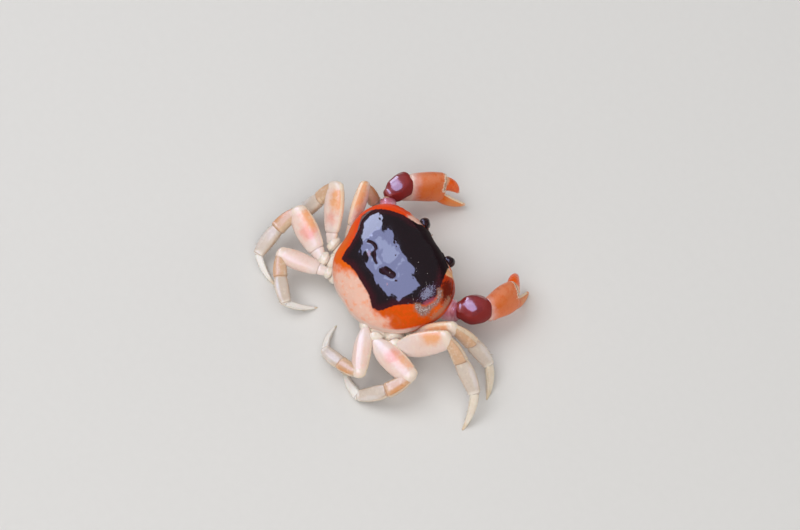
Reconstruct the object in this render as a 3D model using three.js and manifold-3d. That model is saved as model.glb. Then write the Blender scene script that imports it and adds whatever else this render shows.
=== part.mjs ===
// A land crab at rest, life size, as a still model: every plate of its armour is one closed solid.
// Millimetres, +Z up. The head looks towards -Y and the animal's left side is +X.
import * as THREE from 'three';
import { mergeVertices } from 'three/addons/utils/BufferGeometryUtils.js';
import { LoftGeometry } from 'three/addons/geometries/LoftGeometry.js';
import Module from 'manifold-3d';

const wasm = await Module();
wasm.setup();

// ---- driving dimensions -------------------------------------------------------------------
const GAP = 0.3; // clearance between two plates that touch
const WELD = 0.02; // corners closer than this become one
const BODY_CENTRE = new THREE.Vector3(8.82, 1.75, 16); // middle of the shell's widest plane
const BODY_PITCH = THREE.MathUtils.degToRad(15.5); // front raised
const BODY_ROLL = THREE.MathUtils.degToRad(1); // left side raised
// Half outline of the shell seen from above, from the middle of the front to the middle of the rear:
// [sideways, forwards]. The other half mirrors it.
const HALF_OUTLINE = [
  [0, 19.3], [4.9, 19.4], [8.9, 18.8], [13.6, 17.6], [20.1, 14.2], [24.1, 7.6], [24.7, 0.5],
  [22.9, -7.4], [18, -14], [11.5, -18.8], [5.7, -20.8], [0, -20.8],
];
const CROWN = { height: 10.1, forward: 3.1, frontFullness: 2.6, rearFullness: 2.1 };
const BELLY = { depth: 12.3, fullness: 2.4 };
const SHELL_EDGE = -6; // height of the shell's lower edge below its widest plane
const SHELL_SAMPLES = 32;
const TRUNK_SAMPLES = 20;

// Lengths, then greatest height (in the plane of the bend) and thickness of each leg article.
const LEG_SIZES = {
  2: {
    merus: [18.5, 6.2, 4], carpus: [9.4, 4.7, 3.8],
    propodus: [10.6, 4.9, 3.4], dactylus: [12.6, 3, 2.5],
  },
  3: {
    merus: [20.6, 8.9, 4.6], carpus: [9.6, 5.2, 4],
    propodus: [12.3, 5.7, 3.6], dactylus: [13.8, 3.3, 2.7],
  },
  4: {
    merus: [19.7, 8.5, 4.7], carpus: [9.8, 5.5, 4.2],
    propodus: [11.6, 5.5, 3.7], dactylus: [13.2, 3.2, 2.7],
  },
  5: {
    merus: [18, 6.6, 4.2], carpus: [8.6, 5.1, 3.8],
    propodus: [9.8, 5.2, 3.4], dactylus: [12.4, 2.9, 2.4],
  },
};
// Posture of each leg: hip = where it leaves the body and start = where the merus begins, both
// [outwards, backwards, up] from the floor point under the body's centre; then heading and pitch in
// degrees of the merus, carpus and propodus, and the heading of the dactylus, which runs down to
// the floor. Heading 0 is straight ahead, 90 outwards and 180 straight back.
const LEG_POSTURES = {
  left: {
    2: {
      hip: [17, 4, 7.2], start: [23.6, 4.9, 9.6],
      merus: [39, 31], carpus: [300, -66], propodus: [318, -46], dactylus: 285,
    },
    3: {
      hip: [17.2, 9.4, 7], start: [23.6, 12.1, 9.7],
      merus: [55, 29], carpus: [164, -50], propodus: [174, -45], dactylus: 268,
    },
    4: {
      hip: [15, 13.6, 6.4], start: [20, 18.4, 9.5],
      merus: [87, 10], carpus: [185, -25], propodus: [199, -25], dactylus: 270,
    },
    5: {
      hip: [10.2, 16, 6.6], start: [14.1, 19.4, 9.6],
      merus: [127, 0], carpus: [239, -12], propodus: [253, -14], dactylus: 334,
    },
  },
  right: {
    2: {
      hip: [17, 4, 7.2], start: [22.9, 4.8, 7.9],
      merus: [38, 36], carpus: [55, -40], propodus: [68, -42], dactylus: 123,
    },
    3: {
      hip: [17.2, 9.4, 7], start: [25.3, 12.8, 9.8],
      merus: [32, 27], carpus: [83, -32], propodus: [92, -32], dactylus: 141,
    },
    4: {
      hip: [14.8, 13.6, 6.4], start: [18.8, 17.9, 9.7],
      merus: [79, 4], carpus: [185, -19], propodus: [213, -30], dactylus: 275,
    },
    5: {
      hip: [9.8, 16, 6.6], start: [12.8, 18.1, 9.7],
      merus: [127, 0], carpus: [247, -16], propodus: [260, -22], dactylus: 318,
    },
  },
};

// Chelipeds: joints as [outwards, backwards, up]; the palm's heading, pitch and lean (top outwards)
// and the turns of its fixed and its movable finger, [inwards, upwards], in degrees.
const CLAW_SIZES = {
  arm: [7, 6],
  wrist: [10.2, 9.8],
  palm: { length: 13.5, height: 11.7, thickness: 7.2 },
  fixedFinger: { length: 11.5, height: 4.8, thickness: 4 },
  finger: { length: 9.5, height: 4.8, thickness: 4 },
};
const CLAW_POSTURES = {
  left: {
    hip: [13, -8, 8], arm: [17, -9.2, 9.6], elbow: [27, -14.6, 13], wrist: [29.4, -19.8, 14.2],
    palm: [28, -22.4, 13.2], heading: -21, pitch: -14, lean: 28,
    fixedFinger: [6, -18], finger: [-8, -34],
  },
  right: {
    hip: [13, -8, 8], arm: [16, -7.4, 9.6], elbow: [24.6, -13, 12.8], wrist: [27.2, -18.6, 13.6],
    palm: [29.6, -22.4, 12.6], heading: -10, pitch: -14, lean: -32,
    fixedFinger: [20, -8], finger: [36, 0],
  },
};

// ---- finishes -----------------------------------------------------------------------------
const finish = (color, roughness) => new THREE.MeshStandardMaterial({ color, roughness, metalness: 0 });
const SHELL = finish(0x2a1016, 0.2);
const UNDERSIDE = finish(0xe6d6c2, 0.5);
const LEG = finish(0xe8cdb4, 0.4);
const LEG_TIP = finish(0xd9c8a6, 0.45);
const CLAW = finish(0xd8642c, 0.35);
const WRIST = finish(0x7a1c24, 0.25);
const EYE = finish(0x1a1010, 0.1);

// ---- solids -------------------------------------------------------------------------------
const crab = new THREE.Group();
crab.position.set(BODY_CENTRE.x, BODY_CENTRE.y, 0);

/** A closed three.js geometry as a solid that can be joined and cut. */
function solidOf(geometry, weld = 1e-4) {
  const bare = geometry.index ? geometry.toNonIndexed() : geometry.clone();
  bare.deleteAttribute('normal');
  bare.deleteAttribute('uv');
  const merged = mergeVertices(bare, weld);
  return new wasm.Manifold(new wasm.Mesh({
    numProp: 3,
    vertProperties: new Float32Array(merged.attributes.position.array),
    triVerts: new Uint32Array(merged.index.array),
  }));
}

/** The largest separate body of a solid: what a neighbour cuts off is left out. */
function largest(solid) {
  return solid.decompose().reduce((a, b) => (b.volume() > a.volume() ? b : a));
}

/** A solid's surface as a three.js geometry. */
function geometryOf(solid) {
  const { vertProperties, triVerts } = solid.getMesh();
  const geometry = new THREE.BufferGeometry();
  geometry.setAttribute('position', new THREE.BufferAttribute(vertProperties, 3));
  geometry.setIndex(new THREE.BufferAttribute(triVerts, 1));
  return geometry;
}

/** Puts a solid into the animal as a named mesh, its slivers welded shut. */
function place(name, solid, material) {
  const welded = largest(solidOf(geometryOf(largest(solid)), WELD));
  const geometry = geometryOf(welded);
  geometry.computeVertexNormals();
  const mesh = new THREE.Mesh(geometry, material);
  mesh.name = name;
  crab.add(mesh);
}

const loft = (sections) => solidOf(new LoftGeometry(sections, { capStart: true, capEnd: true }));

// ---- the body's surface -------------------------------------------------------------------
/** Body coordinates (left, forward, up from the shell's widest plane) to model coordinates. */
function fromBody(x, forward, up) {
  const point = new THREE.Vector3(x, -forward, up);
  point.applyAxisAngle(new THREE.Vector3(1, 0, 0), -BODY_PITCH);
  point.applyAxisAngle(new THREE.Vector3(0, 1, 0), -BODY_ROLL);
  return point.add(new THREE.Vector3(0, 0, BODY_CENTRE.z));
}

const outline = new THREE.CatmullRomCurve3([
  ...HALF_OUTLINE.map(([x, forward]) => new THREE.Vector3(x, forward, 0)),
  ...HALF_OUTLINE.slice(1, -1).reverse().map(([x, forward]) => new THREE.Vector3(-x, forward, 0)),
], true);
const sampled = (count) => outline.getSpacedPoints(count).slice(0, count);
const SHELL_OUTLINE = sampled(SHELL_SAMPLES);
const TRUNK_OUTLINE = sampled(TRUNK_SAMPLES);

/** One level ring of the body, from angle -90 (bottom) through 0 (widest) to 90 degrees (crown). */
function bodyRing(points, angle, grow) {
  const across = Math.cos(angle);
  const along = Math.abs(Math.sin(angle));
  return points.map(({ x, y }) => {
    const forwardness = THREE.MathUtils.smoothstep(y, -20, 19);
    const crownFullness = THREE.MathUtils.lerp(CROWN.rearFullness, CROWN.frontFullness, forwardness);
    const fullness = angle >= 0 ? crownFullness : BELLY.fullness;
    const spread = Math.max(across, 1e-6) ** (2 / fullness);
    const rise = along ** (2 / fullness) * (angle >= 0 ? CROWN.height : -BELLY.depth);
    const clearance = Math.sign(angle) * grow * Math.sqrt(along);
    const reach = 1 + grow / Math.hypot(x, y - CROWN.forward);
    const forward = CROWN.forward + (y - CROWN.forward) * reach * spread;
    return fromBody(x * reach * spread, forward, rise + clearance);
  });
}

/** Evenly spaced values from one end to the other, both included. */
function steps(from, to, count) {
  return Array.from({ length: count }, (_, i) => from + ((to - from) * i) / (count - 1));
}

const edgeAngle = (level) => -Math.asin((-level / BELLY.depth) ** (BELLY.fullness / 2));
const POLE = THREE.MathUtils.degToRad(86);
const SHELL_ANGLES = steps(edgeAngle(SHELL_EDGE), POLE, 9);
const TRUNK_ANGLES = steps(-POLE, edgeAngle(SHELL_EDGE - GAP), 5);

/** The body through the rings at some angles, its ends flat. */
function bodySolid(points, angles, grow = 0) {
  return loft(angles.map((angle) => bodyRing(points, angle, grow)));
}
const bodyCutter = bodySolid(SHELL_OUTLINE, [...TRUNK_ANGLES, ...SHELL_ANGLES], GAP);

// ---- rounded articles ---------------------------------------------------------------------
/** A rounded article: stations are { at, up, axis, height, thickness }, the ends get round noses. */
function article(stations, { sides = 8, noses = [0.8, 0.8], grow = 0, squareness = 2.3 } = {}) {
  const ring = ({ at, up, axis, height, thickness }, scale = 1, shift = 0) => {
    const side = axis.clone().cross(up).normalize();
    const top = side.clone().cross(axis).normalize();
    return Array.from({ length: sides }, (_, i) => {
      const angle = (2 * Math.PI * i) / sides;
      const [c, s] = [Math.cos(angle), Math.sin(angle)];
      const round = (value) => Math.sign(value) * Math.abs(value) ** (2 / squareness);
      return at.clone()
        .addScaledVector(top, round(c) * (height / 2 + grow) * scale)
        .addScaledVector(side, round(s) * (thickness / 2 + grow) * scale)
        .addScaledVector(axis, shift);
    });
  };
  const first = stations[0];
  const last = stations[stations.length - 1];
  const [startNose, endNose] = noses.map((nose) => nose + grow);
  return loft([
    ring(first, 0.5, -startNose),
    ...stations.map((station) => ring(station)),
    ring(last, 0.5, endNose),
  ]);
}

/** Stations along a bowed article; profile rows are [share of length, height, thickness]. */
function stationsAlong(start, axis, up, length, size, profile, bow = 0) {
  return profile.map(([share, height, thickness]) => {
    const lift = bow * 4 * share * (1 - share);
    const tilt = (bow * 4 * (1 - 2 * share)) / length;
    return {
      at: start.clone().addScaledVector(axis, share * length).addScaledVector(up, lift),
      axis: axis.clone().addScaledVector(up, tilt).normalize(),
      up, height: height * size[0], thickness: thickness * size[1],
    };
  });
}

const sideSign = (side) => (side === 'left' ? 1 : -1);
function pointOn(side, [outwards, backwards, up]) {
  return new THREE.Vector3(sideSign(side) * outwards, backwards, up);
}

/** Unit direction of a heading and a pitch in degrees. */
function direction(side, heading, pitch) {
  const [h, p] = [heading, pitch].map(THREE.MathUtils.degToRad);
  const level = Math.cos(p);
  return new THREE.Vector3(sideSign(side) * Math.sin(h) * level, -Math.cos(h) * level, Math.sin(p));
}

// ---- trunk --------------------------------------------------------------------------------
/** Moves a geometry's points into the body's place through a map to body coordinates. */
function inBody(geometry, toBody) {
  const position = geometry.attributes.position;
  for (let i = 0; i < position.count; i++) {
    const point = fromBody(...toBody(position.getX(i), position.getY(i), position.getZ(i)));
    position.setXYZ(i, point.x, point.y, point.z);
  }
  return geometry;
}

/** An ellipsoid in body coordinates. */
function bodyEllipsoid([x, forward, up], [rx, ry, rz]) {
  const ball = new THREE.SphereGeometry(1, 12, 8);
  return solidOf(inBody(ball, (u, v, w) => [x + rx * u, forward - ry * v, up + rz * w]));
}

const mirrored = (side, [x, forward, up]) => [sideSign(side) * x, forward, up];
const ORBIT = { at: [8.4, 19.6, -2], radii: [3.9, 3.4, 2.5] };
/** The hollow an eye stands in. */
function orbit(side, grow = 0) {
  return bodyEllipsoid(mirrored(side, ORBIT.at), ORBIT.radii.map((radius) => radius + grow));
}
const SIDES = ['left', 'right'];

// The tail plate lies folded under the trunk, wide as a female's, and tapers towards the mouth.
const ABDOMEN = { width: 15, rear: 24, front: -8, plate: 1.5, seat: 0.7 };
/** An upright prism on the tail plate's outline, in body coordinates: [sideways, backwards]. */
function abdomenPrism(grow) {
  const depth = 12;
  const half = ABDOMEN.width / 2 + grow;
  const shape = new THREE.Shape();
  shape.moveTo(half * 0.62, ABDOMEN.rear);
  shape.lineTo(-half * 0.62, ABDOMEN.rear);
  shape.quadraticCurveTo(-half * 1.1, 14, -half, 6);
  shape.quadraticCurveTo(-half * 0.8, ABDOMEN.front * 0.6, 0, ABDOMEN.front - grow);
  shape.quadraticCurveTo(half * 0.8, ABDOMEN.front * 0.6, half, 6);
  shape.quadraticCurveTo(half * 1.1, 14, half * 0.62, ABDOMEN.rear);
  const prism = new THREE.ExtrudeGeometry(shape, { depth, bevelEnabled: false, curveSegments: 3 });
  const top = SHELL_EDGE - GAP - grow;
  return solidOf(inBody(prism, (x, back, z) => [x, -back, z - depth + top]));
}

// Third maxillipeds: the two upright plates that close the mouth.
const MOUTH_PLATE = { x: 2.35, forward: 16.4, up: -9.1, height: 7.2, width: 3.9, thickness: 2 };
function mouthPlate(side, grow = 0) {
  const { x, forward, up, height, width, thickness } = MOUTH_PLATE;
  const low = fromBody(sideSign(side) * x * 0.8, forward - 1.5, up - height * 0.42);
  const high = fromBody(sideSign(side) * x, forward + 0.3, up + height * 0.3);
  const axis = high.clone().sub(low).normalize();
  const across = new THREE.Vector3(1, 0, 0);
  const profile = [[0, 0.7, 0.8], [0.5, 1, 1], [1, 0.9, 0.9]];
  const stations = stationsAlong(low, axis, across, high.distanceTo(low), [width, thickness], profile);
  return article(stations, { noses: [0.6, 0.6], grow, squareness: 3 });
}

// ---- eyes and feelers ---------------------------------------------------------------------
const EYE_STALK = { root: [5.6, 17.6, -2.2], tip: [9.3, 19.5, -0.7], stalk: 2.3, cornea: 3.3 };
function eyeSolid(side) {
  const root = fromBody(...mirrored(side, EYE_STALK.root));
  const tip = fromBody(...mirrored(side, EYE_STALK.tip));
  const axis = tip.clone().sub(root).normalize();
  const thin = EYE_STALK.stalk / EYE_STALK.cornea;
  const profile = [[0, thin, thin], [0.5, thin * 0.95, thin * 0.95], [0.72, 0.92, 0.92], [1, 1, 1]];
  const size = [EYE_STALK.cornea, EYE_STALK.cornea];
  const up = new THREE.Vector3(0, 0, 1);
  const stations = stationsAlong(root, axis, up, root.distanceTo(tip), size, profile);
  return article(stations, { sides: 10, noses: [0.3, 1.3], squareness: 2 });
}

const FEELER = { root: [4.6, 17.2, -5], tip: [6.8, 20.6, -7.4], thickness: 0.9 };
function feelerSolid(side) {
  const root = fromBody(...mirrored(side, FEELER.root));
  const tip = fromBody(...mirrored(side, FEELER.tip));
  const axis = tip.clone().sub(root).normalize();
  const profile = [[0, 1.7, 1.7], [0.3, 1.5, 1.5], [0.42, 0.9, 0.9], [1, 0.65, 0.65]];
  const size = [FEELER.thickness, FEELER.thickness];
  const up = new THREE.Vector3(0, 0, 1);
  const stations = stationsAlong(root, axis, up, root.distanceTo(tip), size, profile, 0.5);
  return article(stations, { sides: 8, noses: [0.3, 0.2], squareness: 2 });
}

// ---- legs ---------------------------------------------------------------------------------
const PROFILES = {
  merus: [[0, 0.5, 0.6], [0.25, 0.86, 0.88], [0.6, 1, 1], [1, 0.72, 0.85]],
  carpus: [[0, 0.7, 0.8], [0.6, 0.98, 1], [1, 0.96, 0.95]],
  propodus: [[0, 0.86, 0.9], [0.4, 1, 1], [1, 0.68, 0.78]],
  dactylus: [[0, 0.92, 0.92], [0.3, 0.92, 0.92], [0.65, 0.62, 0.64], [1, 0.26, 0.3]],
};
const NOSES = { merus: [0.8, 1.7], carpus: [1.3, 0.6], propodus: [0.6, 0.6], dactylus: [0.6, 0.25] };
const BOWS = { merus: -0.2, carpus: 0.3, propodus: 0.3, dactylus: 0.9 };
const ARTICLES = ['merus', 'carpus', 'propodus', 'dactylus'];

/** Start points and directions of a leg's four articles, from its posture. */
function legChain(side, pair) {
  const posture = LEG_POSTURES[side][pair];
  const sizes = LEG_SIZES[pair];
  const starts = [pointOn(side, posture.start)];
  const axes = [];
  for (const name of ['merus', 'carpus', 'propodus']) {
    axes.push(direction(side, ...posture[name]));
    starts.push(starts.at(-1).clone().addScaledVector(axes.at(-1), sizes[name][0]));
  }
  const fall = Math.asin(starts[3].z / sizes.dactylus[0]);
  axes.push(direction(side, posture.dactylus, -THREE.MathUtils.radToDeg(fall)));
  return { starts, axes };
}

/** One solid per article of a leg, each able to grow into the clearance its neighbour is cut by. */
function legArticle(side, pair, name, grow = 0) {
  const { starts, axes } = legChain(side, pair);
  const index = ARTICLES.indexOf(name);
  const knee = axes[0].clone().cross(axes[1]).normalize();
  const claw = axes[2].clone().cross(axes[3]).normalize();
  const hinge = [knee, knee, knee.clone().add(claw).normalize(), claw][index];
  const axis = axes[index];
  const up = axis.clone().cross(hinge).normalize();
  const [length, height, thickness] = LEG_SIZES[pair][name];
  const size = [height, thickness];
  const stations = stationsAlong(starts[index], axis, up, length, size, PROFILES[name], BOWS[name]);
  return article(stations, { noses: NOSES[name], grow, squareness: name === 'dactylus' ? 2 : 2.4 });
}

/** The short articles that carry a limb out of the trunk. */
function hipSolid(start, end, width, grow = 0) {
  const axis = end.clone().sub(start).normalize();
  const profile = [[0, 1, 1], [0.5, 1.04, 1.04], [1, 0.76, 0.76]];
  const up = new THREE.Vector3(0, 0, 1);
  const stations = stationsAlong(start, axis, up, start.distanceTo(end) - 0.6, [width, width], profile);
  return article(stations, { sides: 7, noses: [0.6, 0.5], grow, squareness: 2 });
}

const LEG_ORDER = [3, 5, 4, 2]; // the first ones stay whole at the hips
const FLOOR = solidOf(new THREE.BoxGeometry(200, 200, 40).translate(0, 0, -20));

/** Adds one leg; `beside` is what its hip and merus keep clear of, and the return value adds to it. */
function addLeg(side, pair, beside) {
  const posture = LEG_POSTURES[side][pair];
  const hipAt = (grow) => hipSolid(pointOn(side, posture.hip), pointOn(side, posture.start),
    LEG_SIZES[pair].merus[1] * 0.6, grow);
  place(`leg${pair}_${side}_hip`, hipAt(0).subtract(beside), LEG);
  const cut = {
    merus: hipAt(GAP).add(beside),
    carpus: legArticle(side, pair, 'merus', GAP),
    propodus: legArticle(side, pair, 'carpus', GAP),
    dactylus: legArticle(side, pair, 'propodus', GAP).add(FLOOR),
  };
  for (const name of ARTICLES) {
    const solid = legArticle(side, pair, name).subtract(cut[name]);
    place(`leg${pair}_${side}_${name}`, solid, name === 'dactylus' ? LEG_TIP : LEG);
  }
  return hipAt(GAP).add(legArticle(side, pair, 'merus', GAP));
}

// ---- claws --------------------------------------------------------------------------------
/** Directions of a claw: along its palm, towards its finger edge and towards its inner face. */
function clawFrame(side) {
  const { heading, pitch, lean } = CLAW_POSTURES[side];
  const axis = direction(side, heading, pitch);
  const outwards = new THREE.Vector3(0, 0, 1).cross(axis).normalize().multiplyScalar(sideSign(side));
  const rise = axis.clone().cross(outwards).multiplyScalar(sideSign(side));
  const tilt = THREE.MathUtils.degToRad(lean);
  const up = rise.multiplyScalar(Math.cos(tilt)).addScaledVector(outwards, Math.sin(tilt));
  return { axis, up, inner: up.clone().cross(axis).multiplyScalar(-sideSign(side)) };
}

/** A finger's direction, turned from the palm's axis. */
function fingerAxis(side, turns) {
  const { axis, up, inner } = clawFrame(side);
  const [inwards, upwards] = turns.map(THREE.MathUtils.degToRad);
  const level = axis.multiplyScalar(Math.cos(inwards)).addScaledVector(inner, Math.sin(inwards));
  return level.multiplyScalar(Math.cos(upwards)).addScaledVector(up, Math.sin(upwards));
}

/** A tapered finger that bows towards or away from its partner. */
function fingerBody(side, start, turns, { length, height, thickness }, bow, noses, grow) {
  const along = fingerAxis(side, turns);
  const edge = clawFrame(side).up.projectOnPlane(along).normalize();
  const profile = [[0, 1, 1], [0.3, 0.95, 0.95], [0.65, 0.66, 0.7], [0.9, 0.38, 0.44], [1, 0.26, 0.3]];
  const stations = stationsAlong(start, along, edge, length, [height, thickness], profile, bow);
  return article(stations, { noses, grow, squareness: 2.1 });
}

/** The palm with its fixed finger. */
function palmSolid(side, grow = 0) {
  const { axis, up } = clawFrame(side);
  const { length, height, thickness } = CLAW_SIZES.palm;
  const start = pointOn(side, CLAW_POSTURES[side].palm);
  const profile = [[0, 0.62, 0.7], [0.25, 0.87, 0.92], [0.6, 1, 1], [0.88, 0.94, 0.86], [1, 0.84, 0.74]];
  const stations = stationsAlong(start, axis, up, length, [height, thickness], profile, 0.4);
  const hand = article(stations, { sides: 12, noses: [1.2, 0.6], grow, squareness: 2.3 });
  const root = start.clone().addScaledVector(axis, length * 0.86).addScaledVector(up, -height * 0.25);
  const turns = CLAW_POSTURES[side].fixedFinger;
  return hand.add(fingerBody(side, root, turns, CLAW_SIZES.fixedFinger, -0.9, [1.5, 0.3], grow));
}

/** The movable finger, hinged at the palm's upper corner. */
function fingerSolid(side) {
  const { axis, up } = clawFrame(side);
  const root = pointOn(side, CLAW_POSTURES[side].palm)
    .addScaledVector(axis, CLAW_SIZES.palm.length * 0.96)
    .addScaledVector(up, CLAW_SIZES.palm.height * 0.2);
  return fingerBody(side, root, CLAW_POSTURES[side].finger, CLAW_SIZES.finger, 1.3, [1.2, 0.3], 0);
}

function addClaw(side) {
  const posture = CLAW_POSTURES[side];
  const [hip, arm, elbow, wrist, palm] = ['hip', 'arm', 'elbow', 'wrist', 'palm']
    .map((joint) => pointOn(side, posture[joint]));
  const up = new THREE.Vector3(0, 0, 1);
  const hipAt = (grow) => hipSolid(hip, arm, CLAW_SIZES.arm[0] * 0.9, grow);
  const armAxis = elbow.clone().sub(arm).normalize();
  const armProfile = [[0, 0.6, 0.6], [0.4, 0.92, 0.95], [0.85, 1, 1], [1, 0.86, 0.9]];
  const armStations = stationsAlong(arm, armAxis, up, arm.distanceTo(elbow), CLAW_SIZES.arm, armProfile);
  const armAt = (grow) => article(armStations, { noses: [0.5, 1.2], grow, squareness: 2.2 });
  const wristAxis = palm.clone().sub(elbow).normalize();
  const wristLength = elbow.distanceTo(palm);
  const wristCentre = wrist.clone().addScaledVector(wristAxis, -wristLength / 2);
  const bulge = [[0, 0.6, 0.6], [0.22, 0.86, 0.86], [0.5, 1, 1], [0.8, 0.94, 0.94], [1, 0.76, 0.76]];
  const wristStations = stationsAlong(wristCentre, wristAxis, up, wristLength, CLAW_SIZES.wrist, bulge);
  const wristAt = (grow) => article(wristStations, { sides: 10, noses: [1, 1.2], grow, squareness: 2.1 });
  place(`claw_${side}_hip`, hipAt(0).subtract(bodyCutter), LEG);
  place(`claw_${side}_arm`, armAt(0).subtract(hipAt(GAP)).subtract(bodyCutter), WRIST);
  place(`claw_${side}_wrist`, wristAt(0).subtract(armAt(GAP)), WRIST);
  place(`claw_${side}_palm`, palmSolid(side).subtract(wristAt(GAP)), CLAW);
  place(`claw_${side}_finger`, fingerSolid(side).subtract(palmSolid(side, GAP)), CLAW);
}

// ---- assembly -----------------------------------------------------------------------------
const trunkSolid = (grow) => bodySolid(TRUNK_OUTLINE, TRUNK_ANGLES, grow);
let shell = bodySolid(SHELL_OUTLINE, SHELL_ANGLES);
let trunk = trunkSolid(0);
for (const side of SIDES) {
  shell = shell.subtract(orbit(side));
  trunk = trunk.subtract(mouthPlate(side, GAP));
}
const abdomen = trunkSolid(ABDOMEN.plate - ABDOMEN.seat).intersect(abdomenPrism(0));
const seat = abdomenPrism(GAP).subtract(trunkSolid(-ABDOMEN.seat - GAP));
place('carapace', shell, SHELL);
place('thorax', trunk.subtract(seat), UNDERSIDE);
place('abdomen', abdomen.subtract(trunkSolid(-ABDOMEN.seat)), UNDERSIDE);
for (const side of SIDES) {
  place(`eye_${side}`, eyeSolid(side).subtract(bodyCutter.subtract(orbit(side, -GAP))), EYE);
  place(`antenna_${side}`, feelerSolid(side).subtract(bodyCutter), LEG);
  place(`maxilliped_${side}`, mouthPlate(side), UNDERSIDE);
  addClaw(side);
  let beside = bodyCutter;
  for (const pair of LEG_ORDER) beside = beside.add(addLeg(side, pair, beside));
}

export default crab;
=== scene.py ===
"""A life-size land crab at rest, dressed as a museum model.

Sizes are in millimetres until a piece is finished, when its mesh is scaled to metres. The head looks
towards -Y and the animal's left side is +X. Body coordinates are (left, forward, up) from the middle of
the shell's widest plane; angles are in degrees unless a name says otherwise.
"""

import logging
import math
import random
from collections.abc import Callable, Sequence
from dataclasses import dataclass, field
from enum import Enum

import bmesh
import bpy
import numpy as np
from mathutils import Matrix, Vector, noise


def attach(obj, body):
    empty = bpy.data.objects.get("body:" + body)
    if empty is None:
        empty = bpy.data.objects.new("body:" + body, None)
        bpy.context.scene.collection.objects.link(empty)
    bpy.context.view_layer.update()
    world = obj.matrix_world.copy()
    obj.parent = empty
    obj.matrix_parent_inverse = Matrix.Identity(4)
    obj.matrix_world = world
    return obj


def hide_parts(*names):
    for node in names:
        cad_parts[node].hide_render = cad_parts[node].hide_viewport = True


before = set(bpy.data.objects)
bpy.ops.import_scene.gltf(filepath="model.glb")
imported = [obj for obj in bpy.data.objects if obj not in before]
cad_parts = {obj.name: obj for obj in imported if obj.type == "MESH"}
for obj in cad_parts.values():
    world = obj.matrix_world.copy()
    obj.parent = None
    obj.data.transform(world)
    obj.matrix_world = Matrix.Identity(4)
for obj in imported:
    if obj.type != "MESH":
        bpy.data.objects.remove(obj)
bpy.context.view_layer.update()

MM = 0.001
IMAGE_SIZE = (800, 530)
LOG = logging.getLogger("crab")

Row = tuple[float, ...]
Colour = tuple[float, float, float]
Path = tuple[tuple[float, float], ...]
Array = np.ndarray
Socket = bpy.types.NodeSocket
Relief = Callable[[float, float], float]
Plug = Socket | float | Sequence[float]

UP = Vector((0, 0, 1))


# ---- small helpers ----


def smooth(low: float, high: float, value: float) -> float:
    """Rise from 0 to 1 between two values, with soft ends."""
    share = min(1.0, max(0.0, (value - low) / (high - low)))
    return share * share * (3.0 - 2.0 * share)


def bell(value: float, centre: float, width: float) -> float:
    """A bump of height 1 at the centre, falling off over the width."""
    return math.exp(-(((value - centre) / width) ** 2))


def signed_power(value: float, power: float) -> float:
    """Raise a number's size to a power and keep its sign."""
    return math.copysign(abs(value) ** power, value)


def along_rows(rows: Sequence[Row], share: float) -> list[float]:
    """Read a profile with a smooth curve through its rows.

    Args:
        rows: Rows of (share, value, value, ...), in rising order of share.
        share: Where to read it.

    Returns:
        The values at that share.
    """
    if share <= rows[0][0]:
        return list(rows[0][1:])
    if share >= rows[-1][0]:
        return list(rows[-1][1:])
    index = max(i for i, row in enumerate(rows) if row[0] <= share)
    index = min(index, len(rows) - 2)
    before, start, end, after = (rows[max(0, min(len(rows) - 1, index + k))] for k in (-1, 0, 1, 2))
    span = end[0] - start[0]
    t = (share - start[0]) / span
    values = []
    for a, b, c, d in zip(before[1:], start[1:], end[1:], after[1:]):
        slope_start = (c - a) / max(end[0] - before[0], 1e-6) * span
        slope_end = (d - b) / max(after[0] - start[0], 1e-6) * span
        values.append(
            (2 * t**3 - 3 * t**2 + 1) * b + (t**3 - 2 * t**2 + t) * slope_start
            + (3 * t**2 - 2 * t**3) * c + (t**3 - t**2) * slope_end
        )
    return values


class Side(Enum):
    """The animal's left or right side."""

    LEFT = "left"
    RIGHT = "right"

    @property
    def sign(self) -> int:
        """+1 on the left, where x is positive, and -1 on the right."""
        return 1 if self is Side.LEFT else -1


# ---- finishes ----


class Pattern(Enum):
    """Kinds of fine relief that a finish can carry."""

    GRAIN = "grain"
    PITS = "pits"
    FACETS = "facets"


@dataclass(frozen=True)
class Grain:
    """Fine relief of one kind.

    Attributes:
        pattern: The kind of relief.
        size: Width of one bump or pit, in millimetres.
        depth: Height of the relief, in millimetres.
    """

    pattern: Pattern
    size: float
    depth: float


@dataclass(frozen=True)
class Layer:
    """A colour laid over the ones below it where its mask rises.

    Attributes:
        colour: Linear colour.
        source: Mesh attribute that the mask reads, or empty for cloudy noise.
        low, high: Source values where the layer begins and is full.
        strength: Share of the colour at full mask.
        wobble: How far noise shifts the source.
        grain: Size of that noise, in millimetres.
        roughness, coat: Its roughness and wetness, or None to keep those below.
    """

    colour: Colour
    source: str = ""
    low: float = 0.45
    high: float = 0.65
    strength: float = 1.0
    wobble: float = 0.0
    grain: float = 2.0
    roughness: float | None = None
    coat: float | None = None


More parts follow.
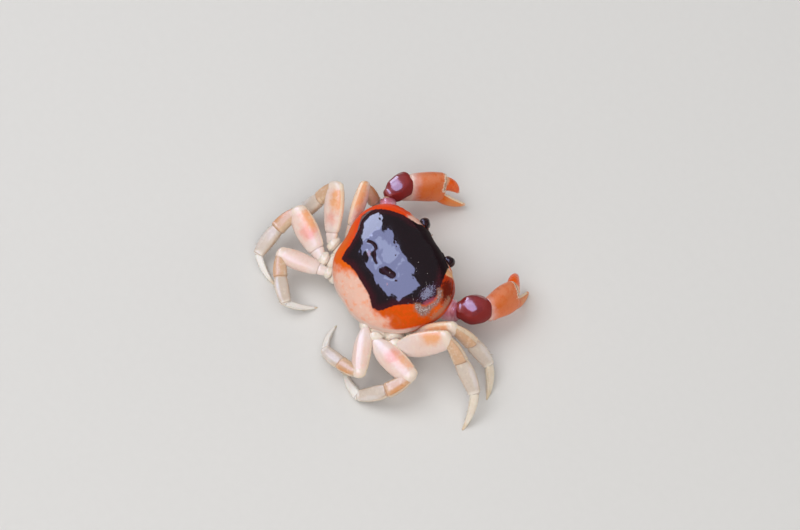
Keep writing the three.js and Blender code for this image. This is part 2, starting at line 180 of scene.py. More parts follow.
class Graph:
    """Adds and links shader nodes in one new material."""

    def __init__(self, name: str) -> None:
        """Start a material whose coordinates are object millimetres."""
        self.material = bpy.data.materials.new(name)
        self.material.use_nodes = True
        self.tree = self.material.node_tree
        self.shader = self.tree.nodes["Principled BSDF"]
        place = self.add("ShaderNodeTexCoord", {})
        scaled = self.add("ShaderNodeMapping", {"Vector": place.outputs["Object"]})
        scaled.inputs["Scale"].default_value = (1 / MM, 1 / MM, 1 / MM)
        self.coordinates = scaled.outputs["Vector"]

    def add(self, kind: str, inputs: dict, **settings: object) -> bpy.types.Node:
        """Add a node.

        Args:
            kind: Blender's name of the node type.
            inputs: Socket name or index to an output socket or a plain value.
            **settings: Properties of the node itself.

        Returns:
            The new node.
        """
        node = self.tree.nodes.new(kind)
        for name, value in settings.items():
            setattr(node, name, value)
        for socket, value in inputs.items():
            if isinstance(value, Socket):
                self.tree.links.new(value, node.inputs[socket])
            else:
                node.inputs[socket].default_value = value
        return node

    def noise(self, size: float, detail: float = 3.0) -> Socket:
        """Cloudy noise between 0 and 1 whose features are `size` millimetres wide."""
        inputs = {"Vector": self.coordinates, "Scale": 1 / size, "Detail": detail}
        return self.add("ShaderNodeTexNoise", inputs).outputs["Fac"]

    def maths(self, operation: str, first: Plug, second: Plug) -> Socket:
        """The result of a sum or product of two sockets or numbers."""
        return self.add("ShaderNodeMath", {0: first, 1: second}, operation=operation).outputs[0]

    def ramp(
        self, value: Plug, low: float, high: float, to_low: float = 0.0, to_high: float = 1.0
    ) -> Socket:
        """A smooth rise of a socket between two values.

        Args:
            value: What is read.
            low, high: Values where the rise begins and ends.
            to_low, to_high: Results there.

        Returns:
            The risen socket.
        """
        node = self.add(
            "ShaderNodeMapRange",
            {"Value": value, "From Min": low, "From Max": high, "To Min": to_low, "To Max": to_high},
            interpolation_type="SMOOTHSTEP",
        )
        return node.outputs["Result"]

    def mask(self, layer: Layer) -> Socket:
        """Where a layer shows.

        Args:
            layer: The layer.

        Returns:
            A socket from 0 to the layer's strength.
        """
        cloud = self.noise(layer.grain)
        if layer.source:
            value = self.add("ShaderNodeAttribute", {}, attribute_name=layer.source).outputs["Fac"]
            if layer.wobble:
                shift = self.maths("MULTIPLY", self.maths("SUBTRACT", cloud, 0.5), 2 * layer.wobble)
                value = self.maths("ADD", value, shift)
        else:
            value = cloud
        return self.ramp(value, layer.low, layer.high, 0.0, layer.strength)

    def blend(self, amount: Plug, below: Plug, above: Plug) -> Socket:
        """Mix two colours by an amount."""
        node = self.add("ShaderNodeMix", {0: amount, 6: below, 7: above}, data_type="RGBA")
        return node.outputs[2]

    def fade(self, amount: Plug, below: Plug, above: Plug) -> Socket:
        """Mix two numbers by an amount."""
        node = self.add("ShaderNodeMix", {0: amount, 2: below, 3: above}, data_type="FLOAT")
        return node.outputs[0]

    def relief(self, grains: Sequence[Grain]) -> None:
        """Give the shader a chain of fine bumps.

        Args:
            grains: Kinds of relief, from the lowest up.
        """
        normal = None
        for grain in grains:
            if grain.pattern is Pattern.GRAIN:
                height = self.noise(grain.size, 4.0)
            else:
                inputs = {"Vector": self.coordinates, "Scale": 1 / grain.size}
                cells = self.add("ShaderNodeTexVoronoi", inputs)
                reach = (0.0, 0.28) if grain.pattern is Pattern.PITS else (0.6, 0.2)
                height = self.ramp(cells.outputs["Distance"], *reach)
            inputs = {"Height": height, "Distance": grain.depth * MM, "Strength": 1.0}
            if normal:
                inputs["Normal"] = normal
            normal = self.add("ShaderNodeBump", inputs).outputs["Normal"]
        if normal:
            self.tree.links.new(normal, self.shader.inputs["Normal"])


@dataclass(frozen=True)
class Finish:
    """A layered surface such as shell, claw or cornea.

    Attributes:
        name: Name of the material.
        base: Linear colour under all layers.
        layers: Layers from the lowest up.
        grains: Fine relief.
        roughness: Lowest and highest roughness of the base.
        coat: Weight of the wet or waxy top coat.
        coat_roughness, coat_ior: Roughness and refractive index of that coat.
        subsurface: Share of light that enters the surface.
        depth: How far that light travels, in millimetres.
        glow: Its reach per colour channel.
        specular: Strength of the base's own mirror light.
    """

    name: str
    base: Colour
    layers: tuple[Layer, ...] = ()
    grains: tuple[Grain, ...] = ()
    roughness: tuple[float, float] = (0.35, 0.5)
    coat: float = 0.0
    coat_roughness: float = 0.1
    coat_ior: float = 1.5
    subsurface: float = 0.0
    depth: float = 0.8
    glow: Colour = (1.0, 0.5, 0.35)
    specular: float = 0.4

    def build(self) -> bpy.types.Material:
        """Make the material.

        Returns:
            A material, made once and shared by every piece with this finish.
        """
        made = bpy.data.materials.get(self.name)
        if made:
            return made
        graph = Graph(self.name)
        shader = graph.shader.inputs
        colour = graph.blend(graph.noise(1.3), [c * 0.9 for c in self.base] + [1.0], [*self.base, 1.0])
        rough = graph.ramp(graph.noise(0.9), 0.3, 0.7, *self.roughness)
        wet = self.coat
        for layer in self.layers:
            mask = graph.mask(layer)
            colour = graph.blend(mask, colour, [*layer.colour, 1.0])
            if layer.roughness is not None:
                rough = graph.fade(mask, rough, layer.roughness)
            if layer.coat is not None:
                wet = graph.fade(mask, wet, layer.coat)
        graph.tree.links.new(colour, shader["Base Color"])
        graph.tree.links.new(rough, shader["Roughness"])
        if isinstance(wet, Socket):
            graph.tree.links.new(wet, shader["Coat Weight"])
        else:
            shader["Coat Weight"].default_value = wet
        shader["Specular IOR Level"].default_value = self.specular
        shader["Coat Roughness"].default_value = self.coat_roughness
        shader["Coat IOR"].default_value = self.coat_ior
        shader["Subsurface Weight"].default_value = self.subsurface
        shader["Subsurface Scale"].default_value = self.depth * MM
        shader["Subsurface Radius"].default_value = self.glow
        graph.relief(self.grains)
        return graph.material


IVORY = (0.87, 0.74, 0.70)
CREAM = (0.88, 0.80, 0.70)
PINK = (0.86, 0.36, 0.29)
SEAM = (0.30, 0.13, 0.09)

SHELL_FINISH = Finish(
    "wet_shell", (0.87, 0.54, 0.43),
    layers=(
        Layer((0.88, 0.26, 0.09), "", 0.48, 0.72, 0.6, grain=2.6),
        Layer((0.84, 0.66, 0.58), "", 0.56, 0.70, 0.5, grain=1.5),
        Layer((0.80, 0.130, 0.004), "blush", 0.3, 0.62, wobble=0.2, grain=2.4, roughness=0.36),
        Layer((0.86, 0.066, 0.004), "blush", 0.68, 0.98, wobble=0.14, grain=2.0, roughness=0.32),
        # Darker red-orange over the right and rear of the margin: partly mottling, partly painted shade on
        # the side turned away from the light.
        Layer((0.60, 0.078, 0.001), "mottle_and_shade", 0.2, 0.7, 0.85, wobble=0.35, grain=1.8),
        Layer((0.78, 0.080, 0.003), "mottle_and_shade", 0.75, 1.1, 0.6, wobble=0.9, grain=1.2),
        Layer((0.82, 0.64, 0.58), "rim", 0.3, 0.9, 0.85, wobble=0.2, grain=1.4),
        Layer((0.40, 0.035, 0.006), "ember", 0.2, 0.55, 0.9, wobble=0.3, grain=1.4, coat=0.0),
        Layer((0.09, 0.010, 0.006), "ember", 0.7, 1.1, 0.85, wobble=0.6, grain=0.8, coat=0.0),
        Layer((0.44, 0.26, 0.17), "dust", 0.2, 1.1, 0.75, wobble=0.9, grain=0.6),
        Layer((0.66, 0.60, 0.56), "wall", 0.3, 0.7, 0.85, wobble=0.1, grain=2.0),
        Layer((0.84, 0.52, 0.27), "cream", 0.3, 0.75, wobble=0.35, grain=0.8),
        Layer((0.72, 0.24, 0.07), "cream", 0.5, 1.2, 0.6, wobble=1.4, grain=0.5),
        Layer((0.83, 0.52, 0.42), "brow", 0.25, 0.7, 0.95, wobble=0.35, grain=0.8),
        Layer((0.046, 0.004, 0.009), "dark", -0.2, 0.2, wobble=0.5, grain=1.0, roughness=0.2, coat=1.0),
        Layer((0.012, 0.005, 0.008), "dark", 0.5, 3.2, wobble=1.0, grain=3.0),
        Layer((0.024, 0.006, 0.008), "pit", 0.35, 0.65, wobble=0.3, grain=0.5, roughness=0.55, coat=0.05),
        # Pale pink spots on the crown, one on its raised bump: painted highlights.
        Layer((0.30, 0.13, 0.13), "bump", 0.4, 0.9, 0.6, wobble=0.2, grain=0.7),
        Layer((0.014, 0.006, 0.008), "front", 0.3, 0.9, wobble=0.5, grain=0.9, roughness=0.6, coat=0.0),
        Layer((0.55, 0.45, 0.44), "", 0.80, 0.84, 0.6, grain=0.4),
        # A worn patch on the right margin: dark purple wear, with a blue-grey painted sheen in its middle.
        Layer((0.05, 0.02, 0.05), "worn_and_sheen", 0.3, 0.7, 0.8, wobble=0.5, grain=0.9, roughness=0.4),
        Layer((0.27, 0.28, 0.42), "worn_and_sheen", 0.6, 0.85, 0.85, wobble=1.1, grain=0.45, roughness=0.35),
        Layer((0.40, 0.16, 0.08), "scuff", 0.10, 0.4, 0.5, wobble=0.3, grain=1.3),
        Layer((0.30, 0.07, 0.12), "streak", 0.35, 0.8, 0.8, wobble=0.7, grain=0.5, roughness=0.4, coat=0.3),
        Layer((0.30, 0.22, 0.21), "scuff", 0.4, 0.65, 0.8, wobble=0.7, grain=0.5, roughness=0.4, coat=0.6),
        Layer((0.14, 0.07, 0.06), "scuff", 0.75, 1.15, 0.55, wobble=1.6, grain=0.8),
        Layer((0.66, 0.61, 0.61), "scuff", 0.95, 1.25, 0.6, wobble=1.7, grain=0.5, roughness=0.5, coat=0.1),
        # Pale scratches and chips, and one painted glint inside the right pit.
        Layer((0.66, 0.62, 0.60), "nick_and_glint", 0.6, 0.95, 0.75, wobble=0.45, grain=0.3, roughness=0.5, coat=0.0),
        Layer((0.17, 0.045, 0.030), "socket", 0.4, 0.8, roughness=0.5, coat=0.0),
    ),
    grains=(Grain(Pattern.GRAIN, 0.8, 0.012), Grain(Pattern.PITS, 1.7, 0.03)),
    roughness=(0.36, 0.48), coat=0.04, coat_roughness=0.05, coat_ior=1.9, subsurface=0.05, specular=0.07,
)
TRUNK_FINISH = Finish(
    "breast_plate", (0.72, 0.58, 0.44),
    layers=(
        Layer((0.82, 0.72, 0.58), "", 0.35, 0.7, 0.8, grain=3.0),
        Layer((0.68, 0.36, 0.24), "", 0.58, 0.8, 0.5, grain=5.0),
        Layer((0.80, 0.30, 0.12), "cheek", 0.2, 0.9, 0.9, wobble=0.25, grain=1.6),
        Layer(SEAM, "seam", 0.25, 0.9, 0.8),
    ),
    grains=(Grain(Pattern.GRAIN, 0.7, 0.05), Grain(Pattern.PITS, 1.1, 0.05)),
    subsurface=0.1,
)


def leg_finish(name: str, base: Colour, layers: Sequence[Layer], roughness: Row = (0.26, 0.4)) -> Finish:
    """The finish of one leg article: shared seams and grain over its own colours.

    Args:
        name: Name of the material.
        base: Linear colour under all layers.
        layers: The article's own layers.
        roughness: Lowest and highest roughness.

    Returns:
        The finish.
    """
    shared = (
        Layer((0.88, 0.80, 0.68), "", 0.5, 0.75, 0.35, grain=1.8),
        Layer((0.90, 0.76, 0.58), "ridge", 0.45, 1.0, 0.7, wobble=0.1),
        Layer(SEAM, "seam", 0.45, 0.9, 0.75, wobble=0.1, grain=0.6),
    )
    return Finish(
        name, base, (*layers, *shared), (Grain(Pattern.GRAIN, 0.5, 0.03), Grain(Pattern.PITS, 0.9, 0.035)),
        roughness=roughness, coat=0.6, coat_roughness=0.14, coat_ior=1.6, subsurface=0.16,
    )


LEG_FINISHES = {
    "hip": leg_finish("hip_plate", CREAM, (Layer((0.70, 0.48, 0.36), "low", 0.2, 0.9, 0.5, grain=2.0),)),
    "merus": leg_finish(
        "thigh_plate", IVORY,
        (
            Layer((0.86, 0.58, 0.48), "share", 0.15, 0.5, 0.5, wobble=0.15, grain=3.0),
            Layer(PINK, "blush", 0.3, 1.0, 0.85, wobble=0.25, grain=2.2),
            Layer((0.87, 0.42, 0.20), "tip", 0.1, 1.15, 0.95, wobble=0.5, grain=2.2),
            Layer((0.86, 0.74, 0.62), "pale", 0.0, 1.0, 0.7, wobble=0.2, grain=1.5),
        ),
    ),
    "carpus": leg_finish(
        "knee_plate", (0.69, 0.44, 0.28),
        (
            Layer((0.68, 0.30, 0.11), "blush", 0.25, 1.0, 0.85, wobble=0.35, grain=1.8),
            Layer((0.70, 0.53, 0.37), "low", 0.1, 0.8, 0.6, wobble=0.2),
        ),
    ),
    "propodus": leg_finish(
        "shin_plate", (0.68, 0.58, 0.50),
        (
            Layer((0.60, 0.36, 0.20), "edge", 0.55, 1.0, 0.6, wobble=0.25),
            Layer((0.74, 0.69, 0.68), "blush", 0.3, 0.9, 0.65, wobble=0.3, grain=1.6),
            Layer((0.82, 0.76, 0.68), "share", 0.84, 1.0, 0.75, wobble=0.05),
        ),
    ),
    "dactylus": leg_finish(
        "foot_plate", (0.92, 0.90, 0.87),
        (
            Layer((0.70, 0.54, 0.34), "tan", 0.3, 1.0, 0.8, wobble=0.12),
            Layer((0.62, 0.50, 0.36), "spine", 0.4, 0.9, 0.7),
            Layer((0.24, 0.15, 0.08), "share", 0.96, 1.06, 0.8),
        ),
        (0.3, 0.45),
    ),
}
SKIN_ROWS = ((0, 0.9, 0.9), (0.5, 1, 1), (1, 0.9, 0.9))
JOINT_FINISH = Finish(
    "joint_skin", (0.62, 0.34, 0.24), layers=(Layer((0.72, 0.50, 0.36), "", grain=0.8),),
    grains=(Grain(Pattern.GRAIN, 0.25, 0.06),), roughness=(0.4, 0.6), subsurface=0.3,
)
ARM_FINISH = Finish(
    "arm_plate", (0.85, 0.33, 0.48),
    layers=(
        Layer((0.86, 0.54, 0.62), "", 0.35, 0.75, 0.7, grain=2.4),
        Layer((0.88, 0.70, 0.70), "share", 0.7, 0.2, 0.85, wobble=0.2),
        Layer((0.34, 0.03, 0.06), "share", 0.84, 1.05, 0.7, wobble=0.12),
    ),
    grains=(Grain(Pattern.GRAIN, 0.6, 0.04), Grain(Pattern.PITS, 0.9, 0.05)),
    roughness=(0.25, 0.4), coat=1.0, coat_roughness=0.12, coat_ior=1.8, subsurface=0.08,
)
WRIST_FINISH = Finish(
    "wrist_plate", (0.28, 0.025, 0.028),
    layers=(
        Layer((0.17, 0.012, 0.015), "", 0.4, 0.7, 0.7, grain=2.5),
        Layer((0.30, 0.032, 0.022), "share", 0.62, 1.0, 0.7, wobble=0.12),
        Layer((0.36, 0.09, 0.10), "share", 0.15, -0.05, 0.8, wobble=0.08),
        Layer((0.24, 0.024, 0.022), "dull", 0.1, 0.9, 1.0, roughness=0.55, coat=0.0),
    ),
    grains=(Grain(Pattern.GRAIN, 0.9, 0.03), Grain(Pattern.PITS, 1.0, 0.05)),
    roughness=(0.3, 0.42), coat=1.0, coat_roughness=0.13, coat_ior=2.05, subsurface=0.05, specular=0.2,
)
PALM_FINISH = Finish(
    "claw_plate", (0.76, 0.17, 0.030),
    layers=(
        Layer((0.74, 0.27, 0.15), "top", 0.1, 0.95, 0.6, wobble=0.25, grain=2.4),
        Layer((0.80, 0.155, 0.006), "top", 0.1, -0.7, 0.85, wobble=0.25, grain=2.0),
        Layer((0.70, 0.12, 0.012), "", 0.45, 0.72, 0.7, grain=2.2),
        Layer((0.40, 0.045, 0.016), "top", 0.98, 1.12, 0.6, wobble=0.1),
        Layer((0.78, 0.42, 0.37), "share", 0.36, 0.10, 0.85, wobble=0.12, grain=1.6),
        Layer((0.83, 0.62, 0.54), "share", 0.16, 0.06, 0.8, wobble=0.08, grain=0.9),
        Layer((0.80, 0.34, 0.12), "share", 1.0, 1.25, 0.6, wobble=0.05),
        Layer((0.86, 0.70, 0.56), "hinge", 0.35, 0.6, 0.85, wobble=0.9, grain=0.5),
        Layer((0.34, 0.16, 0.07), "hinge", 0.7, 1.0, 0.75, wobble=1.5, grain=0.8),
        Layer((0.90, 0.78, 0.56), "bite", 0.35, 0.8, 0.9, wobble=0.1, grain=0.8),
        Layer((0.88, 0.78, 0.62), "share", 1.5, 1.75, 0.9, wobble=0.03),
    ),
    grains=(Grain(Pattern.GRAIN, 0.7, 0.03), Grain(Pattern.PITS, 0.8, 0.05)),
    roughness=(0.27, 0.4), coat=0.5, coat_roughness=0.14, coat_ior=1.7, subsurface=0.06, specular=0.25,
)
FINGER_FINISH = Finish(
    "finger_plate", (0.88, 0.11, 0.002),
    layers=(
        Layer((0.88, 0.20, 0.012), "", 0.45, 0.7, 0.6, grain=1.8),
        Layer((0.84, 0.50, 0.30), "share", 0.14, 0.0, 0.8, wobble=0.05),
        Layer((0.90, 0.78, 0.56), "bite", 0.35, 0.8, 0.9, wobble=0.1, grain=0.8),
        Layer((0.86, 0.62, 0.42), "share", 0.86, 1.04, 0.8, wobble=0.04),
    ),
    grains=(Grain(Pattern.GRAIN, 0.6, 0.03), Grain(Pattern.PITS, 0.8, 0.05)),
    roughness=(0.25, 0.38), coat=0.4, coat_roughness=0.14, coat_ior=1.6, subsurface=0.04, specular=0.2,
)
CORNEA_FINISH = Finish(
    "cornea", (0.016, 0.007, 0.009), layers=(Layer((0.050, 0.014, 0.016), "", 0.45, 0.7, 0.8, grain=0.7),),
    grains=(Grain(Pattern.FACETS, 0.14, 0.006),), roughness=(0.2, 0.28), coat=0.5, coat_roughness=0.1,
)
STALK_FINISH = Finish(
    "eye_stalk", (0.20, 0.05, 0.035),
    layers=(
        Layer((0.60, 0.34, 0.20), "", 0.5, 0.75, 0.7, grain=0.9),
        Layer((0.10, 0.02, 0.02), "top", 0.2, 0.9, 0.8),
    ),
    grains=(Grain(Pattern.GRAIN, 0.4, 0.03),), coat=0.5, subsurface=0.05,
)
FEELER_FINISH = Finish(
    "feeler", (0.56, 0.30, 0.17), layers=(Layer((0.30, 0.12, 0.07), "share", 0.3, 1.0, 0.8),),
    grains=(Grain(Pattern.GRAIN, 0.3, 0.02),),
)
MOUTH_FINISH = Finish(
    "mouth_plate", (0.76, 0.50, 0.33),
    layers=(
        Layer((0.72, 0.26, 0.10), "share", 0.3, 0.9, 0.85, wobble=0.25, grain=1.4),
        Layer(SEAM, "seam", 0.4, 0.9, 0.8),
    ),
    grains=(Grain(Pattern.GRAIN, 0.5, 0.04), Grain(Pattern.PITS, 0.8, 0.04)), subsurface=0.1,
)
HAIR_FINISH = Finish(
    "bristles", (0.36, 0.22, 0.11), layers=(Layer((0.62, 0.46, 0.28), "", 0.4, 0.7, 0.8, grain=1.5),),
    roughness=(0.4, 0.55),
)


# ---- pieces ----


class Piece:
    """A mesh in millimetres on its way to becoming one finished object."""

    def __init__(self, name: str) -> None:
        """Start an empty mesh with the name that its object will have."""
        self.name = name
        self.bm = bmesh.new()

    def layer(self, name: str) -> bmesh.types.BMLayerItem:
        """The mesh's per-vertex number of that name, made when it is first asked for."""
        layers = self.bm.verts.layers.float
        return layers.get(name) or layers.new(name)

    def finish(self, finish: Finish, slot: str, replaces: Sequence[str] = ()) -> bpy.types.Object:
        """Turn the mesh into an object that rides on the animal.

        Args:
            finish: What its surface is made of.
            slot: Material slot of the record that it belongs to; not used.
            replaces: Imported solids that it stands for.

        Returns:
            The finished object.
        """
        bmesh.ops.recalc_face_normals(self.bm, faces=self.bm.faces)
        bmesh.ops.scale(self.bm, vec=(MM, MM, MM), verts=self.bm.verts)
        for face in self.bm.faces:
            face.smooth = True
        mesh = bpy.data.meshes.new(self.name)
        self.bm.to_mesh(mesh)
        self.bm.free()
        mesh.materials.append(finish.build())
        piece = bpy.data.objects.new(self.name, mesh)
        bpy.context.scene.collection.objects.link(piece)
        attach(piece, "root")
        if replaces:
            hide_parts(*replaces)
        LOG.info("%s: %d faces", self.name, len(mesh.polygons))
        return piece


def fuse(bm: bmesh.types.BMesh, voxel: float, passes: int) -> None:
    """Blend the overlapping bodies of a mesh into one smooth skin.

    Args:
        bm: The mesh, whose faces are replaced.
        voxel: Size of the detail that is kept, in millimetres.
        passes: How often the new skin is smoothed.
    """
    rough = bpy.data.meshes.new("rough")
    bmesh.ops.recalc_face_normals(bm, faces=bm.faces)
    bm.to_mesh(rough)
    holder = bpy.data.objects.new("rough", rough)
    bpy.context.scene.collection.objects.link(holder)
    remesh = holder.modifiers.new("remesh", "REMESH")
    remesh.mode = "VOXEL"
    remesh.voxel_size = voxel
    relax = holder.modifiers.new("relax", "SMOOTH")
    relax.iterations = passes
    relax.factor = 0.5
    skin = bpy.data.meshes.new_from_object(holder.evaluated_get(bpy.context.evaluated_depsgraph_get()))
    bm.clear()
    bm.from_mesh(skin)
    bpy.data.objects.remove(holder)
    for mesh in (rough, skin):
        bpy.data.meshes.remove(mesh)


def open_edges(bm: bmesh.types.BMesh) -> list[bmesh.types.BMEdge]:
    """The edges where a mesh is still open."""
    return [edge for edge in bm.edges if edge.is_boundary]


def cut_level(bm: bmesh.types.BMesh, height: float, side: int) -> None:
    """Cut a mesh at a height and drop what lies above it (side 1) or below it (side -1)."""
    geom = [*bm.verts, *bm.edges, *bm.faces]
    bmesh.ops.bisect_plane(bm, geom=geom, plane_co=(0, 0, height), plane_no=(0, 0, side), clear_outer=True)


def no_relief(share: float, around: float) -> float:
    """Leave a surface plain."""
    return 0.0


@dataclass
class Rod:
    """A closed rounded body along a line that may bow.

    Attributes:
        start: Where the line begins.
        axis: Its unit direction.
        up: Direction in which the height is measured.
        length: Its length.
        size: Greatest height and thickness.
        profile: Rows of (share of length, share of height, share of thickness).
        noses: Lengths of the rounded ends.
        bow: How far its middle is lifted towards `up`.
        squareness: 2 for an ellipse, more for a squarer section.
        relief: Extra radius at (share, angle around in radians), where angle 0 is the top.
    """

    start: Vector
    axis: Vector
    up: Vector
    length: float
    size: tuple[float, float]
    profile: Sequence[Row]
    noses: tuple[float, float] = (0.8, 0.8)
    bow: float = 0.0
    squareness: float = 2.3
    relief: Relief = no_relief

    def at(self, along: float, around: float) -> Vector:
        """A point on the surface.

        Args:
            along: Distance from the start, which the noses carry past both ends.
            around: Angle around the line in radians, where 0 is the top.

        Returns:
            The point in model coordinates.
        """
        share = min(1.0, max(0.0, along / self.length))
        beyond = -along / self.noses[0] if along < 0 else max(0.0, along - self.length) / self.noses[1]
        cap = math.sqrt(max(0.0, 1.0 - beyond * beyond))
        height, thickness = along_rows(self.profile, share)
        tilt = self.bow * 4 * (1 - 2 * share) / self.length
        tangent = (self.axis + self.up * tilt).normalized()
        side = tangent.cross(self.up).normalized()
        top = side.cross(tangent).normalized()
        extra = self.relief(along / self.length, around)
        up = signed_power(math.cos(around), 2 / self.squareness) * (height * self.size[0] / 2 + extra) * cap
        out = (
            signed_power(math.sin(around), 2 / self.squareness)
            * (thickness * self.size[1] / 2 + extra) * cap
        )
        lift = self.bow * 4 * share * (1 - share)
        return self.start + self.axis * along + self.up * lift + top * up + side * out

    def add_to(self, piece: Piece, sides: int = 36, rings: int = 56) -> list[bmesh.types.BMVert]:
        """Add the body to a piece, with its `share` and `top` marked on every vertex.

        Args:
            piece: The piece that it joins.
            sides, rings: Faces around and along the line.

        Returns:
            The new vertices.
        """
        share_layer, top_layer = piece.layer("share"), piece.layer("top")
        verts = bmesh.ops.create_uvsphere(piece.bm, u_segments=sides, v_segments=rings, radius=1.0)["verts"]
        whole = self.noses[0] + self.length + self.noses[1]
        for vertex in verts:
            turn = math.acos(max(-1.0, min(1.0, -vertex.co.z))) / math.pi
            even = turn + 0.4 * ((1 - math.cos(turn * math.pi)) / 2 - turn)
            along = even * whole - self.noses[0]
            around = math.atan2(vertex.co.y, vertex.co.x)
            vertex.co = self.at(along, around)
            vertex[share_layer] = along / self.length
            vertex[top_layer] = math.cos(around)
        return verts

    def outwards(self, along: float, around: float) -> Vector:
        """The surface's outward direction at a point.

        Args:
            along: Distance from the start.
            around: Angle around the line in radians.

        Returns:
            The unit direction.
        """
        step = 0.05
        slope = self.at(along + step, around) - self.at(along - step, around)
        turn = self.at(along, around + step) - self.at(along, around - step)
        normal = slope.cross(turn).normalized()
        inside = self.at(along, around) - (self.at(along, 0.0) + self.at(along, math.pi)) / 2
        return normal if normal.dot(inside) > 0 else -normal


def add_cone(
    piece: Piece, root: Vector, tip: Vector, radius: float, sides: int = 5
) -> list[bmesh.types.BMVert]:
    """Add a pointed cone, such as a spine or a bristle, to a piece.

    Args:
        piece: The piece that it joins.
        root: Middle of its base.
        tip: Its point.
        radius: Radius of its base.
        sides: Faces around it.

    Returns:
        The new vertices.
    """
    line = tip - root
    turn = line.to_track_quat("Z", "Y").to_matrix().to_4x4()
    place = Matrix.Translation(root + line / 2) @ turn
    made = bmesh.ops.create_cone(
        piece.bm, cap_ends=True, segments=sides, radius1=radius, radius2=radius * 0.15, depth=line.length,
        matrix=place,
    )
    return made["verts"]


class Bristles(Piece):
    """Stiff hairs joined in one mesh, with the map that keeps each hair's colour at its root."""

    PATCH = 0.0015

    def add(self, root: Vector, tip: Vector, radius: float, spot: tuple[float, float]) -> None:
        """Add one hair.

        Args:
            root: Where it grows.
            tip: Where it ends.
            radius: Radius at the root.
            spot: Place of the root on the unwrapped surface, both numbers from 0 to 1.
        """
        uv = self.bm.loops.layers.uv.get("OFBake") or self.bm.loops.layers.uv.new("OFBake")
        verts = add_cone(self, root, tip, radius, 3)
        faces = {face for vertex in verts for face in vertex.link_faces}
        for face in faces:
            for corner, loop in enumerate(face.loops):
                turn = 2 * math.pi * corner / len(face.loops)
                loop[uv].uv = (spot[0] + self.PATCH * math.cos(turn), spot[1] + self.PATCH * math.sin(turn))


# ---- the body's form ----


@dataclass
class BodyForm:
    """The smooth body that shell, trunk and tail plate share.

    Attributes:
        centre: Middle of the shell's widest plane in model coordinates.
        pitch, roll: How far the front and the left side are raised.
        half_outline: Left outline seen from above, from front to rear.
        crown_height: Height above the widest plane.
        crown_forward: How far forward of the centre the crown lies.
        front_fullness, rear_fullness: Roundness of the crown.
        belly_depth: Depth below the widest plane.
        belly_fullness: Roundness of the belly.
        edge: Height of the shell's lower edge.
    """

    centre: Vector = field(default_factory=lambda: Vector((8.82, 1.75, 16.0)))
    pitch: float = 15.5
    roll: float = 1.0
    half_outline: Path = (
        (0, 19.3), (4.9, 19.4), (8.9, 18.8), (13.6, 17.6), (20.1, 14.2), (24.1, 7.6), (24.7, 0.5),
        (22.9, -7.4), (18, -14), (11.5, -18.8), (5.7, -20.8), (0, -20.8),
    )
    crown_height: float = 10.1
    crown_forward: float = 3.1
    front_fullness: float = 2.6
    rear_fullness: float = 2.1
    belly_depth: float = 12.3
    belly_fullness: float = 2.4
    edge: float = -6.0

    def __post_init__(self) -> None:
        """Work out the body's turn and its radius at each bearing."""
        self.turn = Matrix.Rotation(math.radians(-self.roll), 3, "Y") @ Matrix.Rotation(
            math.radians(-self.pitch), 3, "X"
        )
        mirrored = [(-x, y) for x, y in self.half_outline[1:-1][::-1]]
        points = smooth_loop([*self.half_outline, *mirrored], 24)
        from_crown = points - np.array([0.0, self.crown_forward])
        self.bearings = np.arctan2(from_crown[:, 1], from_crown[:, 0])
        self.radii = np.hypot(from_crown[:, 0], from_crown[:, 1])

    def place(self, left: float, forward: float, up: float) -> Vector:
        """Body coordinates to model coordinates."""
        return self.turn @ Vector((left, -forward, up)) + self.centre

    def place_all(self, bm: bmesh.types.BMesh) -> None:
        """Move a mesh from body coordinates to model coordinates."""
        for vertex in bm.verts:
            vertex.co = self.place(*vertex.co)

    def surface(self, direction: Vector) -> Vector:
        """The point where a ray from the middle leaves the smooth body.

        Args:
            direction: Direction of the ray, in body coordinates.

        Returns:
            The point in body coordinates.
        """
        bearing = math.atan2(direction.y, direction.x)
        radius = float(np.interp(bearing, self.bearings, self.radii, period=2 * math.pi))
        forwardness = smooth(-20.0, 19.0, self.crown_forward + radius * math.sin(bearing))
        crown = self.rear_fullness + (self.front_fullness - self.rear_fullness) * forwardness
        fullness, height = (
            (crown, self.crown_height) if direction.z >= 0 else (self.belly_fullness, self.belly_depth)
        )
        across = math.hypot(direction.x, direction.y) / radius
        reach = (across**fullness + (abs(direction.z) / height) ** fullness) ** (-1 / fullness)
        return direction * reach + Vector((0, self.crown_forward, 0))

    def dome(self, u: float, v: float, spread: float, upwards: int) -> Vector:
        """A point of a square sheet laid over the top or the bottom of the body.

        Args:
            u, v: Sideways and forward place on the sheet, from -1 to 1.
            spread: Angle from the pole to the sheet's edge, in degrees.
            upwards: +1 for the top and -1 for the bottom.

        Returns:
            The point in body coordinates.
        """
        x = u * math.sqrt(1 - v * v / 2)
        y = v * math.sqrt(1 - u * u / 2)
        tilt = math.radians(spread) * math.hypot(x, y)
        bearing = math.atan2(y, x)
        level = math.sin(tilt)
        return self.surface(Vector((
            24.0 * level * math.cos(bearing), 20.0 * level * math.sin(bearing),
            11.0 * upwards * math.cos(tilt),
        )))


def smooth_loop(points: Sequence[Row], steps: int) -> Array:
    """A closed smooth curve through points, as many short straight steps.

    Args:
        points: The points that it passes through.
        steps: Steps between two of them.

    Returns:
        The points of the curve, one per row.
    """
    loop = np.array(points, float)
    curve = []
    for index in range(len(loop)):
        quad = [loop[(index + k) % len(loop)] for k in (-1, 0, 1, 2)]
        knots = [0.0]
        for a, b in zip(quad, quad[1:]):
            knots.append(knots[-1] + math.sqrt(float(np.linalg.norm(b - a))))
        for t in np.linspace(knots[1], knots[2], steps, endpoint=False):
            level = quad
            for order in (1, 2, 3):
                level = [blend_knots(level, knots, i, order, t) for i in range(len(level) - 1)]
            curve.append(level[0])
    return np.array(curve)


